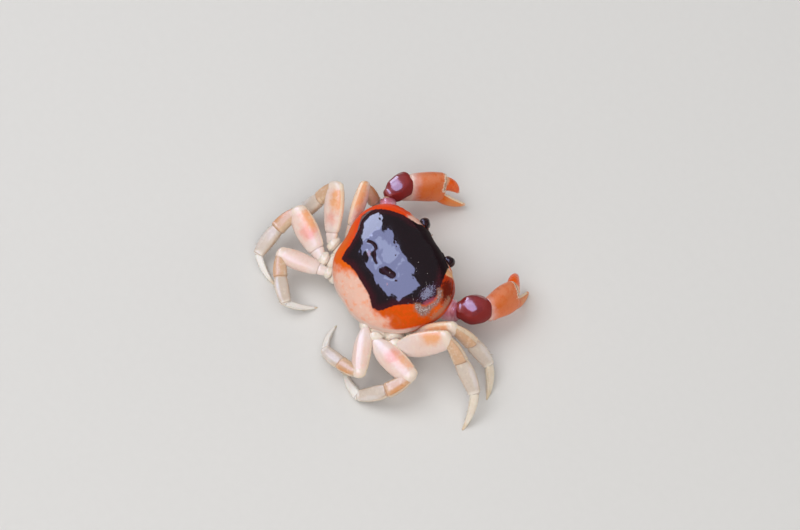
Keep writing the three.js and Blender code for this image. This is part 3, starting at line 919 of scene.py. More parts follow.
def blend_knots(level: Sequence[Array], knots: Sequence[float], i: int, order: int, t: float) -> Array:
    """One step of the pyramid that evaluates a centripetal curve.

    Args:
        level: The points of the step below.
        knots: The curve's four knots.
        i: Which pair of points is blended.
        order: The step's number, from 1 to 3.
        t: Place on the curve.

    Returns:
        The blended point.
    """
    low, high = (i, i + order) if order < 3 else (1, 2)
    span = knots[high] - knots[low]
    return level[i] * (knots[high] - t) / span + level[i + 1] * (t - knots[low]) / span


def distance_to_path(x: Array, y: Array, path: Sequence[Row]) -> Array:
    """Distance from many points to a line of straight pieces.

    Args:
        x, y: Coordinates of the points.
        path: Corners of the line.

    Returns:
        The shortest distance of each point.
    """
    best = np.full(x.shape, np.inf)
    for (ax, ay), (bx, by) in zip(path, path[1:]):
        dx, dy = bx - ax, by - ay
        share = np.clip(((x - ax) * dx + (y - ay) * dy) / (dx * dx + dy * dy), 0, 1)
        best = np.minimum(best, np.hypot(x - ax - share * dx, y - ay - share * dy))
    return best


def inside_depth(x: Array, y: Array, outline: Array) -> Array:
    """How deep points lie inside an outline.

    Args:
        x, y: Coordinates of the points.
        outline: Corners of the outline.

    Returns:
        The depth of each point, negative outside.
    """
    closed = [*map(tuple, outline), tuple(outline[0])]
    odd = np.zeros(x.shape, bool)
    for (ax, ay), (bx, by) in zip(closed, closed[1:]):
        if ay != by:
            crosses = ((ay > y) != (by > y)) & (x < (bx - ax) * (y - ay) / (by - ay) + ax)
            odd ^= crosses
    return np.where(odd, 1.0, -1.0) * distance_to_path(x, y, closed)


def rise(low: float, high: float, values: Array) -> Array:
    """Rise from 0 to 1 between two values, for many numbers at once."""
    share = np.clip((values - low) / (high - low), 0, 1)
    return share * share * (3 - 2 * share)


def hump(values: Array, centre: float, width: float) -> Array:
    """A bump of height 1 at the centre, for many numbers at once."""
    return np.exp(-(((values - centre) / width) ** 2))


def spot(x: Array, y: Array, centre: Row, radii: Row, turn: float = 0.0) -> Array:
    """A soft oval spot of height 1.

    Args:
        x, y: Coordinates of the points.
        centre: Middle of the spot.
        radii: Its two radii.
        turn: Its turn in degrees.

    Returns:
        The spot's height at each point.
    """
    c, s = math.cos(math.radians(turn)), math.sin(math.radians(turn))
    dx, dy = x - centre[0], y - centre[1]
    return np.exp(-(((dx * c + dy * s) / radii[0]) ** 2) - ((dy * c - dx * s) / radii[1]) ** 2)


# ---- shell ----


@dataclass(frozen=True)
class Groove:
    """A furrow, pit or scratch of the shell: its line, half width and depth."""

    path: Path
    width: float
    depth: float


@dataclass
class Carapace:
    """The domed shell with its furrows, eye hollows and dark saddle, all in body coordinates.

    Attributes:
        body: The form that it covers.
        detail: Faces along one side of the sheet that it is made from.
        spread: Angle from the crown to the sheet's edge.
        furrows: Soft furrows of the left half, which the right half mirrors.
        pits: Deep dull furrows and pits of the crown.
        nicks_and_glint: Pale scratches and chips, and a painted glint inside the right pit.
        saddle: Outline of the dark saddle.
        warmth: Redness of the margin by bearing in degrees, 0 being left and 90 forward.
        scrape: Line of the scuffed edge on the right.
        orbit_at, orbit_radii: Middle and radii of the left eye hollow.
        front_trim: How far the front is drawn back from the smooth form.
        lip: Width of the turned-in lower edge.
        face_from: How far forward the shell's upright face begins.
    """

    body: BodyForm
    detail: int = 290
    spread: float = 127.0
    furrows: tuple[Groove, ...] = (
        Groove(((0.0, -1.8), (3.2, -1.8)), 1.3, 0.08),
        Groove(((4.2, -0.4), (7.5, 4.2), (12.5, 9.0), (16.5, 12.5)), 2.2, 0.05),
        Groove(((4.2, -3.8), (4.9, -8.5), (7.2, -13.5)), 1.6, 0.10),
        Groove(((0.0, 18.6), (0.0, 11.5), (1.8, 6.5), (4.2, -0.4)), 1.4, 0.07),
        Groove(((9.5, -3.0), (14.0, -7.5), (19.0, -9.5)), 1.8, 0.06),
    )
    pits: tuple[Groove, ...] = (
        Groove(((10.8, -1.8), (9.3, -0.7), (7.6, -0.2), (6.4, -0.6), (5.9, -1.7), (4.6, -2.4)), 0.5, 0.16),
        Groove(((4.6, -2.4), (3.0, -3.1), (1.5, -3.0)), 0.36, 0.12),
        Groove(((-2.1, -2.4), (-4.0, -1.5), (-5.8, -0.7)), 1.4, 0.3),
        Groove(((-8.0, -0.7), (-8.3, -0.4)), 0.4, 0.06),
        Groove(((4.5, 6.4), (4.6, 6.5)), 0.28, 0.05),
        Groove(((2.7, 6.2), (2.8, 6.3)), 0.26, 0.05),
        Groove(((-0.1, 4.1), (0.0, 4.2)), 0.28, 0.05),
        Groove(((-10.9, 5.0), (-10.8, 5.1)), 0.24, 0.0),
    )
    nicks_and_glint: tuple[Groove, ...] = (
        Groove(((-4.4, 7.7), (-3.9, 8.5)), 0.09, 0.0),
        Groove(((-7.0, 8.7), (-6.8, 9.9), (-6.5, 10.9)), 0.09, 0.0),
        Groove(((-7.6, 8.3), (-9.9, 7.1)), 0.10, 0.0),
        # A painted glint inside the right pit, not a chip.
        Groove(((-4.3, -1.2), (-4.0, -0.9)), 0.24, 0.0),
        Groove(((-12.1, 10.2), (-12.0, 10.4)), 0.2, 0.0),
        Groove(((-13.3, 13.4), (-14.4, 14.4)), 0.10, 0.0),
        Groove(((-11.8, -6.8), (-11.7, -6.7)), 0.2, 0.0),
        Groove(((-17.2, -1.3), (-17.3, -1.0)), 0.2, 0.0),
        Groove(((-14.4, 8.2), (-15.2, 7.9), (-16.2, 7.3)), 0.13, 0.0),
        Groove(((-15.6, 1.4), (-16.6, 1.3), (-17.6, 0.8)), 0.14, 0.0),
    )
    saddle: Path = (
        (21.4, 6.0), (18.9, 9.4), (16.3, 12.0), (13.8, 14.3), (10.1, 16.3), (7.4, 17.7), (6.9, 19.2),
        (6.6, 21.0), (0.0, 21.8), (-5.6, 21.2), (-9.6, 19.6), (-12.9, 17.0), (-14.8, 15.1),
        (-17.4, 12.5), (-20.4, 8.0),
        (-20.3, 3.3), (-16.8, -2.4), (-14.9, -6.2), (-13.2, -11.2), (-10.6, -12.9), (-7.0, -11.7),
        (0.9, -11.4), (4.6, -11.3), (8.9, -12.4), (11.8, -13.0), (13.4, -10.4), (14.6, -7.2),
        (17.0, -3.7), (19.6, -1.1), (21.8, 1.1), (22.2, 3.6),
    )
    warmth: tuple[Row, ...] = (
        (-180, 0.66), (-160, 0.64), (-148, 0.56), (-135, 0.34), (-118, 0.14), (-88, 0.16), (-68, 0.38),
        (-48, 0.62), (-28, 0.76), (0, 0.86), (36, 1.0), (56, 0.8), (90, 0.6), (128, 0.7), (150, 0.95),
        (168, 0.8), (180, 0.66),
    )
    scrape: Path = (
        (-20.2, 1.0), (-21.9, 1.3), (-22.2, 2.8), (-22.1, 5.0), (-21.7, 7.7), (-20.6, 9.6), (-19.0, 10.7),
    )
    orbit_at: Row = (8.4, 19.6, -2.0)
    orbit_radii: Row = (3.7, 3.1, 2.25)
    front_trim: float = 0.95
    lip: float = 1.4
    face_from: float = 12.0

    def relief(self, x: Array, y: Array, z: Array) -> Array:
        """How far the shell stands out of the smooth form.

        Args:
            x, y, z: Sideways, forward and upward body coordinates.

        Returns:
            Heights of the relief in millimetres.
        """
        side = np.abs(x)
        height = 0.2 * spot(side, y, (12.5, -1.0), (6.0, 8.0)) + 0.18 * spot(x, y, (0, 7.0), (4.2, 4.5))
        height += 0.26 * spot(x, y, (0, -6.2), (3.0, 3.2)) + 0.16 * spot(side, y, (3.2, 15.6), (2.0, 1.6))
        height += 0.1 * spot(side, y, (8.2, 10.0), (3.6, 3.4)) + 0.1 * spot(x, y, (-12.2, 6.6), (2.6, 2.4))
        for furrow in self.furrows:
            height -= furrow.depth * hump(distance_to_path(side, y, furrow.path), 0.0, furrow.width)
        for pit in self.pits:
            height -= pit.depth * hump(distance_to_path(x, y, pit.path), 0.0, pit.width)
        height += 0.25 * spot(x, y, (6.0, -4.0), (1.8, 1.1), 20)
        height *= rise(-1.0, 2.0, z)
        rim_level = z - 1.2 - 0.05 * (y - 8.0)
        rim = hump(rim_level, 0.0, 0.5) * rise(-2.0, 5.0, y) * rise(10.5, 14.5, side)
        height += 0.28 * rim * (0.75 + 0.25 * np.cos(y * 5.5))
        height += 0.3 * hump(z, -0.3, 0.45) * rise(0.0, -9.0, y)
        height += 0.22 * hump(z - self.body.edge, 1.1, 0.45) * rise(0.0, -8.0, y)
        brow = hump(z, 1.6, 0.6) * rise(6.6, 5.0, side) * (y > self.face_from)
        height += 0.08 * brow
        height -= 2.0 * spot(x, y, (22.2, -8.6), (6.0, 6.4)) * rise(-6.0, -1.0, z)
        height -= 1.1 * spot(side, z, (2.6, -3.4), (1.5, 1.1)) * (y > self.face_from)
        return height

    def lines(self, x: Array, y: Array, grooves: Sequence[Groove]) -> Array:
        """Nearness to the closest of some lines, from 0 to 1."""
        return np.max([hump(distance_to_path(x, y, g.path), 0.0, g.width) for g in grooves], axis=0)

    def orbit_reach(self, x: Array, z: Array) -> Array:
        """Distance from an eye hollow's middle in the front view, where 1 is its edge."""
        cx, _, cz = self.orbit_at
        return np.hypot((np.abs(x) - cx) / self.orbit_radii[0], (z - cz) / self.orbit_radii[2])

    def marks(self, x: Array, y: Array, z: Array) -> dict[str, Array]:
        """Numbers that the finish reads its colours from.

        Args:
            x, y, z: Sideways, forward and upward body coordinates.

        Returns:
            Attribute name to its value at each point.
        """
        side = np.abs(x)
        dark = inside_depth(x, y, smooth_loop(self.saddle, 4))
        lowest = 1.2 - 5.0 * np.clip((8.0 - side) / 1.5, 0, 1) * np.clip((y - 11.0) / 2.0, 0, 1)
        dark = np.minimum(dark, (z - lowest) * 2.0)
        front = rise(8.2, 5.5, z) * rise(9.0, 13.0, y) * rise(-0.5, 0.1, dark)
        bearings, warmths = np.array(self.warmth).T
        bearing = np.degrees(np.arctan2(y - self.body.crown_forward, x))
        blush = np.interp(bearing, bearings, warmths) + 0.25 * np.clip(1.0 + dark / 3.0, 0, 1)
        rearward = np.clip(-y / 8.0, 0, 1)
        blush -= 0.3 * rearward * np.clip((2.5 - z) / 3.0, 0, 1)
        rim = hump(z, 0.7, 1.8) * np.clip((2.0 - y) / 8.0, 0, 1)
        wall = np.clip((-z - 1.6) / 1.6, 0, 1) * np.clip((8.0 - y) / 8.0, 0, 1)
        ember = (
            1.2 * spot(x, y, (-18.6, 13.4), (2.4, 4.4), -35)
            + 0.6 * spot(x, y, (-21.6, 10.8), (1.7, 3.2), -25)
        )
        ember *= rise(-3.0, 0.0, z)
        dust = hump(z, 1.8, 2.0) * rise(0.5, 4.0, y) * rise(13.8, 11.5, y) * (x < 0)
        cream = 1.2 * spot(x, y, (-13.8, 17.2), (2.2, 1.9), 20) * rise(-3.5, 0.5, z) * rise(7.5, 5.0, z)
        brow = 1.2 * spot(x, y, (9.0, 17.6), (3.6, 1.4), -20) * rise(1.5, 3.5, z)
        brow += 1.2 * spot(side, z, (10.6, 1.6), (2.8, 1.4), 10) * (y > self.face_from)
        scrape = distance_to_path(x, y, self.scrape)
        scuff = 1.1 * hump(scrape, 0.0, 1.0 + 0.5 * rise(5.0, 1.0, y)) * (0.66 + 0.34 * rise(6.0, 2.0, y))
        # Worn patch on the right margin; its blue-grey middle is a painted sheen.
        worn_and_sheen = spot(x, y, (-17.8, 6.6), (2.2, 4.4), -12)
        streak = spot(x, y, (-20.4, 5.4), (0.9, 3.6))
        socket = np.clip((1.0 - self.orbit_reach(x, z)) / 0.3, 0, 1) * (y > self.face_from)
        return {
            "dark": dark, "blush": blush, "rim": rim, "wall": wall, "ember": ember, "cream": cream,
            "brow": brow, "scuff": scuff, "worn_and_sheen": worn_and_sheen, "streak": streak, "socket": socket, "front": front,
            # Pale scratches and chips; the small spot inside the right pit is a painted glint.
            "pit": self.lines(x, y, self.pits), "nick_and_glint": self.lines(x, y, self.nicks_and_glint),
            # Two spots of painted highlight on the crown.
            "bump": spot(x, y, (6.4, -3.6), (1.6, 1.1), 20) + spot(x, y, (-7.3, -3.9), (0.8, 0.5), 20),
            # The last mark darkens the right and rear of the margin: mottling, and painted shade on the
            # side turned away from the light.
            "dust": dust, "mottle_and_shade": rise(0.3, 0.7, blush) * rise(3.0, -3.0, x) * rise(9.0, 0.0, y),
        }

    def build(self) -> None:
        """Make the shell from a sheet laid over the body."""
        piece = Piece("shell")
        bm = piece.bm
        bmesh.ops.create_grid(bm, x_segments=self.detail, y_segments=self.detail, size=1.0)
        for vertex in bm.verts:
            vertex.co = self.body.dome(vertex.co.x, vertex.co.y, self.spread, 1)
        cut_level(bm, self.body.edge, -1)
        bm.normal_update()
        x, y, z = np.array([vertex.co for vertex in bm.verts]).T
        marks = self.marks(x, y, z)
        layers = [piece.layer(name) for name in marks]
        verts = list(bm.verts)
        up = 1 if sum(vertex.normal.z for vertex in verts) > 0 else -1
        for layer, values in zip(layers, marks.values()):
            for vertex, value in zip(verts, values):
                vertex[layer] = float(value)
        reach = self.orbit_reach(x, z)
        height = self.relief(x, y, z) + 0.32 * hump(reach, 1.08, 0.13) * (y > self.face_from)
        trim = self.front_trim * rise(8.0, 17.0, y) * rise(-17.0, -6.0, x)
        scuffed = piece.layer("scuff")
        corners = 0.05 * spot(x, y, (15.5, 5.5), (4.5, 4.0))
        for vertex, lift, near, corner in zip(verts, height, reach, corners):
            waves = 0.08 * noise.noise(vertex.co * 0.2) + 0.012 * noise.noise(vertex.co * 0.9)
            waves += (0.006 + 0.08 * min(1.0, vertex[scuffed])) * noise.noise(vertex.co * 2.6)
            waves += float(corner) * noise.noise(vertex.co * 0.75)
            vertex.co += vertex.normal * (up * (float(lift) + waves))
            if near < 1 and vertex.co.y > self.face_from:
                bowl = self.orbit_at[1] - self.orbit_radii[1] * math.sqrt(1 - float(near) ** 2)
                vertex.co.y = min(vertex.co.y, bowl)
        for vertex, back in zip(verts, trim):
            vertex.co.y -= float(back)
        self.close_below(bm)
        self.body.place_all(bm)
        piece.finish(SHELL_FINISH, "carapace", ["carapace"])

    def close_below(self, bm: bmesh.types.BMesh) -> None:
        """Turn the shell's lower edge inwards and close it where the trunk hides it."""
        middle = Vector((0, self.body.crown_forward, self.body.edge))
        for inset, lift in ((0.35, -0.12), (self.lip, 0.0), (0.4, 1.2)):
            made = bmesh.ops.extrude_edge_only(bm, edges=open_edges(bm))["geom"]
            for vertex in (item for item in made if isinstance(item, bmesh.types.BMVert)):
                inwards = (middle - vertex.co) * Vector((1, 1, 0))
                vertex.co += inwards.normalized() * inset + Vector((0, 0, lift))
        bmesh.ops.contextual_create(bm, geom=open_edges(bm))


# ---- trunk, tail plate and mouth ----


@dataclass
class Trunk:
    """The underside of the body with its breast plates.

    Attributes:
        body: The form that it covers.
        gap: Clearance below the shell's edge.
        detail: Faces along one side of the sheet that it is made from.
        sutures: Lines between the breast plates, in (sideways, forward), mirrored.
    """

    body: BodyForm
    gap: float = 0.3
    detail: int = 130
    sutures: tuple[Path, ...] = (
        ((0.0, 11.2), (4.5, 10.8), (9.0, 12.0)),
        ((2.0, 8.6), (9.0, 7.6), (16.0, 9.4)),
        ((6.0, 4.6), (11.0, 3.4), (18.0, 3.6)),
        ((7.0, -0.6), (12.0, -2.2), (18.5, -3.0)),
        ((7.0, -5.6), (11.5, -7.8), (17.0, -9.6)),
        ((6.6, -10.2), (9.6, -13.0), (13.5, -15.4)),
    )

    def build(self) -> None:
        """Make the underside from a sheet laid under the body."""
        piece = Piece("trunk")
        bm = piece.bm
        bmesh.ops.create_grid(bm, x_segments=self.detail, y_segments=self.detail, size=1.0)
        for vertex in bm.verts:
            vertex.co = self.body.dome(vertex.co.x, vertex.co.y, 86.0, -1)
        cut_level(bm, self.body.edge - self.gap, 1)
        seam, cheek = piece.layer("seam"), piece.layer("cheek")
        verts = list(bm.verts)
        x, y, _ = np.array([vertex.co for vertex in verts]).T
        for vertex in verts:
            lowest = -10.5 + 0.12 * abs(vertex.co.x)
            vertex[cheek] = smooth(lowest, -6.8, vertex.co.z) * smooth(-4.0, 8.0, vertex.co.y)
        for path in self.sutures:
            near = hump(distance_to_path(np.abs(x), y, path), 0.0, 0.45)
            for vertex, value in zip(verts, near):
                vertex[seam] = max(vertex[seam], float(value))
        for vertex in verts:
            waves = 0.12 * noise.noise(vertex.co * 0.4) - 0.45 * vertex[seam]
            inwards = (Vector((0, self.body.crown_forward, 0)) - vertex.co).normalized()
            vertex.co -= inwards * waves
        bmesh.ops.contextual_create(bm, geom=open_edges(bm))
        self.body.place_all(bm)
        piece.finish(TRUNK_FINISH, "underside", ["thorax"])


@dataclass
class TailPlate:
    """The folded abdomen, whose rings lie under the trunk.

    Attributes:
        body: The form that it lies on.
        widths: Rows of (share from the rear to the tip, half width).
        rings: Shares where one ring ends and the next begins.
        sweep: Angles of its rear end and its tip round the belly, 90 being straight down.
        rise: How far it stands out of the trunk.
        thickness: Its thickness.
    """

    body: BodyForm
    widths: tuple[Row, ...] = (
        (0, 5.0), (0.12, 6.2), (0.3, 7.1), (0.55, 7.5), (0.76, 6.4), (0.9, 4.0), (0.97, 2.0), (1, 0.7),
    )
    rings: tuple[float, ...] = (0.0, 0.13, 0.27, 0.42, 0.58, 0.76, 1.0)
    sweep: tuple[float, float] = (33.0, 103.0)
    rise: float = 0.75
    thickness: float = 1.1

    def build(self) -> None:
        """Make the plate from a sheet wrapped round the belly."""
        piece = Piece("tail_plate")
        bm = piece.bm
        seam = piece.layer("seam")
        bmesh.ops.create_grid(bm, x_segments=36, y_segments=150, size=1.0)
        for vertex in bm.verts:
            across, share = vertex.co.x, (vertex.co.y + 1) / 2
            angle = math.radians(self.sweep[0] + (self.sweep[1] - self.sweep[0]) * share)
            half = along_rows(self.widths, share)[0]
            ring = max(start for start in self.rings if start <= share)
            length = min((end for end in self.rings if end > share), default=1.15) - ring
            step = (share - ring) / length
            edge = bell(step, 0.0, 0.07) + bell(step, 1.0, 0.07)
            direction = Vector(
                (across * half, -23.9 * math.cos(angle), -self.body.belly_depth * math.sin(angle))
            )
            point = self.body.surface(direction)
            out = (point - Vector((0, self.body.crown_forward, 0))).normalized()
            lift = self.rise * (1 - abs(across) ** 8) - 0.3 * edge + 0.12 * step
            vertex.co = point + out * (lift + 0.05 * noise.noise(point * 0.7))
            vertex[seam] = edge
        bmesh.ops.recalc_face_normals(bm, faces=bm.faces)
        bm.normal_update()
        inwards = -1 if sum(vertex.normal.z for vertex in bm.verts) < 0 else 1
        bmesh.ops.solidify(bm, geom=bm.faces[:], thickness=self.thickness * -inwards)
        self.body.place_all(bm)
        piece.finish(TRUNK_FINISH, "underside", ["abdomen"])


@dataclass
class Head:
    """Eyes, feelers and mouth plates.

    Attributes:
        body: The form that they sit in.
        eye_root, eye_tip: Ends of the left eye stalk, in body coordinates.
        stalk, cornea: Thickness of the stalk and of the eye itself.
        feeler_root, feeler_tip: Ends of the left feeler.
        feeler: Its thickness.
        mouth: Place of the left mouth plate.
        plate: Its height, width and thickness.
    """

    body: BodyForm
    eye_root: Row = (5.6, 17.0, -2.2)
    eye_tip: Row = (9.6, 19.3, -0.6)
    stalk: float = 2.6
    cornea: float = 3.7
    feeler_root: Row = (4.5, 16.4, -5.0)
    feeler_tip: Row = (6.4, 18.9, -7.9)
    feeler: float = 0.9
    mouth: Row = (2.75, 16.2, -9.0)
    plate: Row = (8.2, 5.0, 2.3)

    def line(self, side: Side, root: Row, tip: Row) -> tuple[Vector, Vector, float]:
        """Start, direction and length of a line given on the left side."""
        start, end = (self.body.place(side.sign * p[0], p[1], p[2]) for p in (root, tip))
        return start, (end - start).normalized(), (end - start).length

    def build(self, side: Side) -> None:
        """Make one side's eye, feelers and mouth plate."""
        self.build_eye(side)
        self.build_feelers(side)
        self.build_mouth(side)

    def build_eye(self, side: Side) -> None:
        """Make the stalk and the dark eye that caps it."""
        start, axis, length = self.line(side, self.eye_root, self.eye_tip)
        thin = self.stalk / self.cornea
        stalk = Piece(f"eye_stalk_{side.value}")
        rows = (
            (0, thin * 0.95, thin * 0.95), (0.4, thin, thin), (0.62, thin * 1.08, thin * 1.08),
            (0.9, 0.9, 0.9),
        )
        Rod(
            start, axis, UP, length * 0.9, (self.cornea, self.cornea), rows, (0.6, 0.8), squareness=2.0,
            relief=lambda share, around: 0.05 * math.cos(share * 16) - 0.06 * bell(share, 0.32, 0.05),
        ).add_to(stalk, 28, 32)
        stalk.finish(STALK_FINISH, "eye", [f"eye_{side.value}"])
        ball = Piece(f"eye_{side.value}_cornea")
        rows = ((0, 0.96, 0.94), (0.4, 1.14, 1.08), (1, 1.04, 1.0))
        Rod(
            start + axis * length * 0.5, axis, UP, length * 0.46, (self.cornea, self.cornea), rows,
            (0.4, 1.4), squareness=2.0,
        ).add_to(ball, 40, 40)
        ball.finish(CORNEA_FINISH, "eye")

    def build_feelers(self, side: Side) -> None:
        """Make the ringed outer feeler and the short, slightly bowed inner one."""
        start, axis, length = self.line(side, self.feeler_root, self.feeler_tip)
        piece = Piece(f"feeler_{side.value}")
        rows = ((0, 1.7, 1.7), (0.3, 1.5, 1.5), (0.42, 0.85, 0.85), (1, 0.35, 0.35))
        Rod(
            start, axis, UP, length, (self.feeler, self.feeler), rows, (0.3, 0.2), 0.5, 2.0,
            lambda share, around: -0.05 * (math.cos(share * 90) > 0.55),
        ).add_to(piece, 16, 90)
        piece.finish(FEELER_FINISH, "leg", [f"antenna_{side.value}"])
        inner = Piece(f"inner_feeler_{side.value}")
        start, axis, length = self.line(side, (1.6, 17.2, -4.0), (3.4, 18.2, -4.1))
        rows = ((0, 1, 1), (0.5, 1.1, 1.0), (1, 0.6, 0.6))
        Rod(start, axis, UP, length, (0.8, 0.8), rows, (0.4, 0.4), 0.3, 2.0).add_to(inner, 16, 24)
        inner.finish(FEELER_FINISH, "leg")

    def build_mouth(self, side: Side) -> None:
        """Make the upright plate that closes one half of the mouth, with its small palp."""
        across, forward, up = self.mouth
        height, width, thickness = self.plate
        low = (across * 0.8, forward - 1.5, up - height * 0.42)
        high = (across, forward + 0.3, up + height * 0.3)
        start, axis, length = self.line(side, low, high)
        piece = Piece(f"mouth_plate_{side.value}")
        rows = ((0, 0.72, 0.8), (0.3, 0.96, 1), (0.58, 0.94, 0.9), (0.75, 1.0, 0.95), (1, 0.86, 0.85))

        def relief(share: float, around: float) -> float:
            """A suture across the plate and a furrow along it."""
            return -0.22 * bell(share, 0.6, 0.045) - 0.12 * bell(math.sin(around), 1.0, 0.12)

        plate = Rod(
            start, axis, Vector((1, 0, 0)), length, (width, thickness), rows, (0.8, 0.8), 0.0, 3.0, relief
        )
        seam = piece.layer("seam")
        for vertex in plate.add_to(piece, 40, 60):
            vertex[seam] = bell(vertex[piece.layer("share")], 0.6, 0.04)
        palp_root, palp_tip = (
            (across * 1.5, forward + 0.7, up + 2.4), (across * 0.8, forward + 0.9, up - 0.4)
        )
        root, line, reach = self.line(side, palp_root, palp_tip)
        rows = ((0, 0.8, 0.8), (0.5, 1, 1), (1, 0.5, 0.5))
        Rod(root, line, Vector((1, 0, 0)), reach, (1.0, 0.8), rows).add_to(piece, 16, 24)
        piece.finish(MOUTH_FINISH, "underside", [f"maxilliped_{side.value}"])


# ---- walking legs ----


@dataclass(frozen=True)
class LegSizes:
    """Length, height and thickness of a leg's four long articles."""

    merus: Row
    carpus: Row
    propodus: Row
    dactylus: Row


@dataclass(frozen=True)
class LegPose:
    """How one leg is held.

    Attributes:
        hip: Where it leaves the body: outwards, backwards and up from below the body's centre.
        start: Where its thigh begins.
        merus: Heading and pitch of the thigh; heading 0 is straight ahead and 90 outwards.
        carpus, propodus: The same of knee and shin.
        dactylus: Heading of the foot, which runs down to the floor.
        girth: Fullness of thigh, knee, shin and foot against the leg's sizes.
    """

    hip: Row
    start: Row
    merus: Row
    carpus: Row
    propodus: Row
    dactylus: float
    girth: Row = (1, 1, 1, 1)


LEG_SIZES = {
    2: LegSizes((18.5, 6.2, 4), (9.4, 4.7, 3.8), (10.6, 4.9, 3.4), (12.6, 3, 2.5)),
    3: LegSizes((20.6, 8.9, 4.6), (9.6, 5.2, 4), (12.3, 5.7, 3.6), (13.8, 3.3, 2.7)),
    4: LegSizes((19.7, 8.5, 4.7), (9.8, 5.5, 4.2), (11.6, 5.5, 3.7), (13.2, 3.2, 2.7)),
    5: LegSizes((18, 6.6, 4.2), (8.6, 5.1, 3.8), (9.8, 5.2, 3.4), (12.4, 2.9, 2.4)),
}
LEG_POSES = {
    Side.LEFT: {
        2: LegPose((17, 4, 7.2), (23.6, 4.9, 9.6), (39, 31), (300, -66), (318, -46), 285),
        3: LegPose((17.2, 9.4, 7), (23.6, 12.1, 9.7), (55, 29), (164, -50), (174, -45), 268),
        4: LegPose((15, 13.6, 6.4), (20, 18.4, 9.5), (87, 10), (185, -25), (199, -25), 270),
        5: LegPose((10.2, 16, 6.6), (14.1, 19.4, 9.6), (127, 0), (239, -12), (253, -14), 334),
    },
    Side.RIGHT: {
        2: LegPose(
            (17, 4, 7.2), (22.9, 4.8, 7.9), (38, 36), (55, -40), (68, -42), 123, (1.22, 1.18, 1.18, 1.25)
        ),
        3: LegPose(
            (17.2, 9.4, 7), (25.3, 12.8, 9.8), (32, 27), (83, -32), (92, -32), 141, (1, 1, 1.05, 1.22)
        ),
        4: LegPose(
            (14.8, 13.6, 6.4), (18.8, 17.9, 9.7), (79, 4), (185, -19), (213, -30), 275, (1, 1, 1, 1.35)
        ),
        5: LegPose((9.8, 16, 6.6), (12.8, 18.1, 9.7), (127, 0), (247, -16), (260, -22), 318),
    },
}


def heading(side: Side, bearing: float, pitch: float) -> Vector:
    """Unit direction of a heading and a pitch in degrees."""
    h, p = math.radians(bearing), math.radians(pitch)
    return Vector((side.sign * math.sin(h) * math.cos(p), -math.cos(h) * math.cos(p), math.sin(p)))


def on_side(body: BodyForm, side: Side, point: Row) -> Vector:
    """Model coordinates of (outwards, backwards, up) from the floor point under the body's centre."""
    return Vector((body.centre.x + side.sign * point[0], body.centre.y + point[1], point[2]))


def dig(share: float, place: float, width: float, depth: float) -> float:
    """A ring groove of a rod at some share of its length."""
    return -depth * bell(share, place, width)


@dataclass(frozen=True)
class PairTint:
    """Colours that both legs of a pair share.

    Attributes:
        spot_at: Share of the thigh where its pink spot is strongest.
        tan_from: Share of the foot where its tan begins to rise.
        tan_least: Tan of the foot before that.
    """

    spot_at: float
    tan_from: float
    tan_least: float


PAIR_TINTS = {
    2: PairTint(0.45, 0.0, 0.78), 3: PairTint(0.42, 0.35, 0.7),
    4: PairTint(0.53, 0.5, 0.42), 5: PairTint(0.5, 0.8, 0.0),
}


@dataclass(frozen=True)
class LegTint:
    """Colours of one leg.

    Attributes:
        spot: Strength of the thigh's pink spot.
        far_end: Strength of the orange towards the thigh's far end.
        knee: Strength of the knee's brown.
        begins: Share of the thigh where the orange begins.
        pale: Paleness of the thigh's very end.
    """

    spot: float
    far_end: float
    knee: float
    begins: float = 0.34
    pale: float = 1.0


LEG_TINTS = {
    Side.LEFT: {
        2: LegTint(0.7, 1.4, 1.6, pale=0.1), 3: LegTint(0.8, 1.2, 0.7),
        4: LegTint(1.15, 1.3, 1.1), 5: LegTint(0.3, 0.2, 0.5),
    },
    Side.RIGHT: {
        2: LegTint(0.5, 1.7, 0.5), 3: LegTint(0.35, 1.25, 0.4, begins=0.42),
        4: LegTint(1.0, 0.8, 1.1), 5: LegTint(0.35, 0.4, 0.8),
    },
}


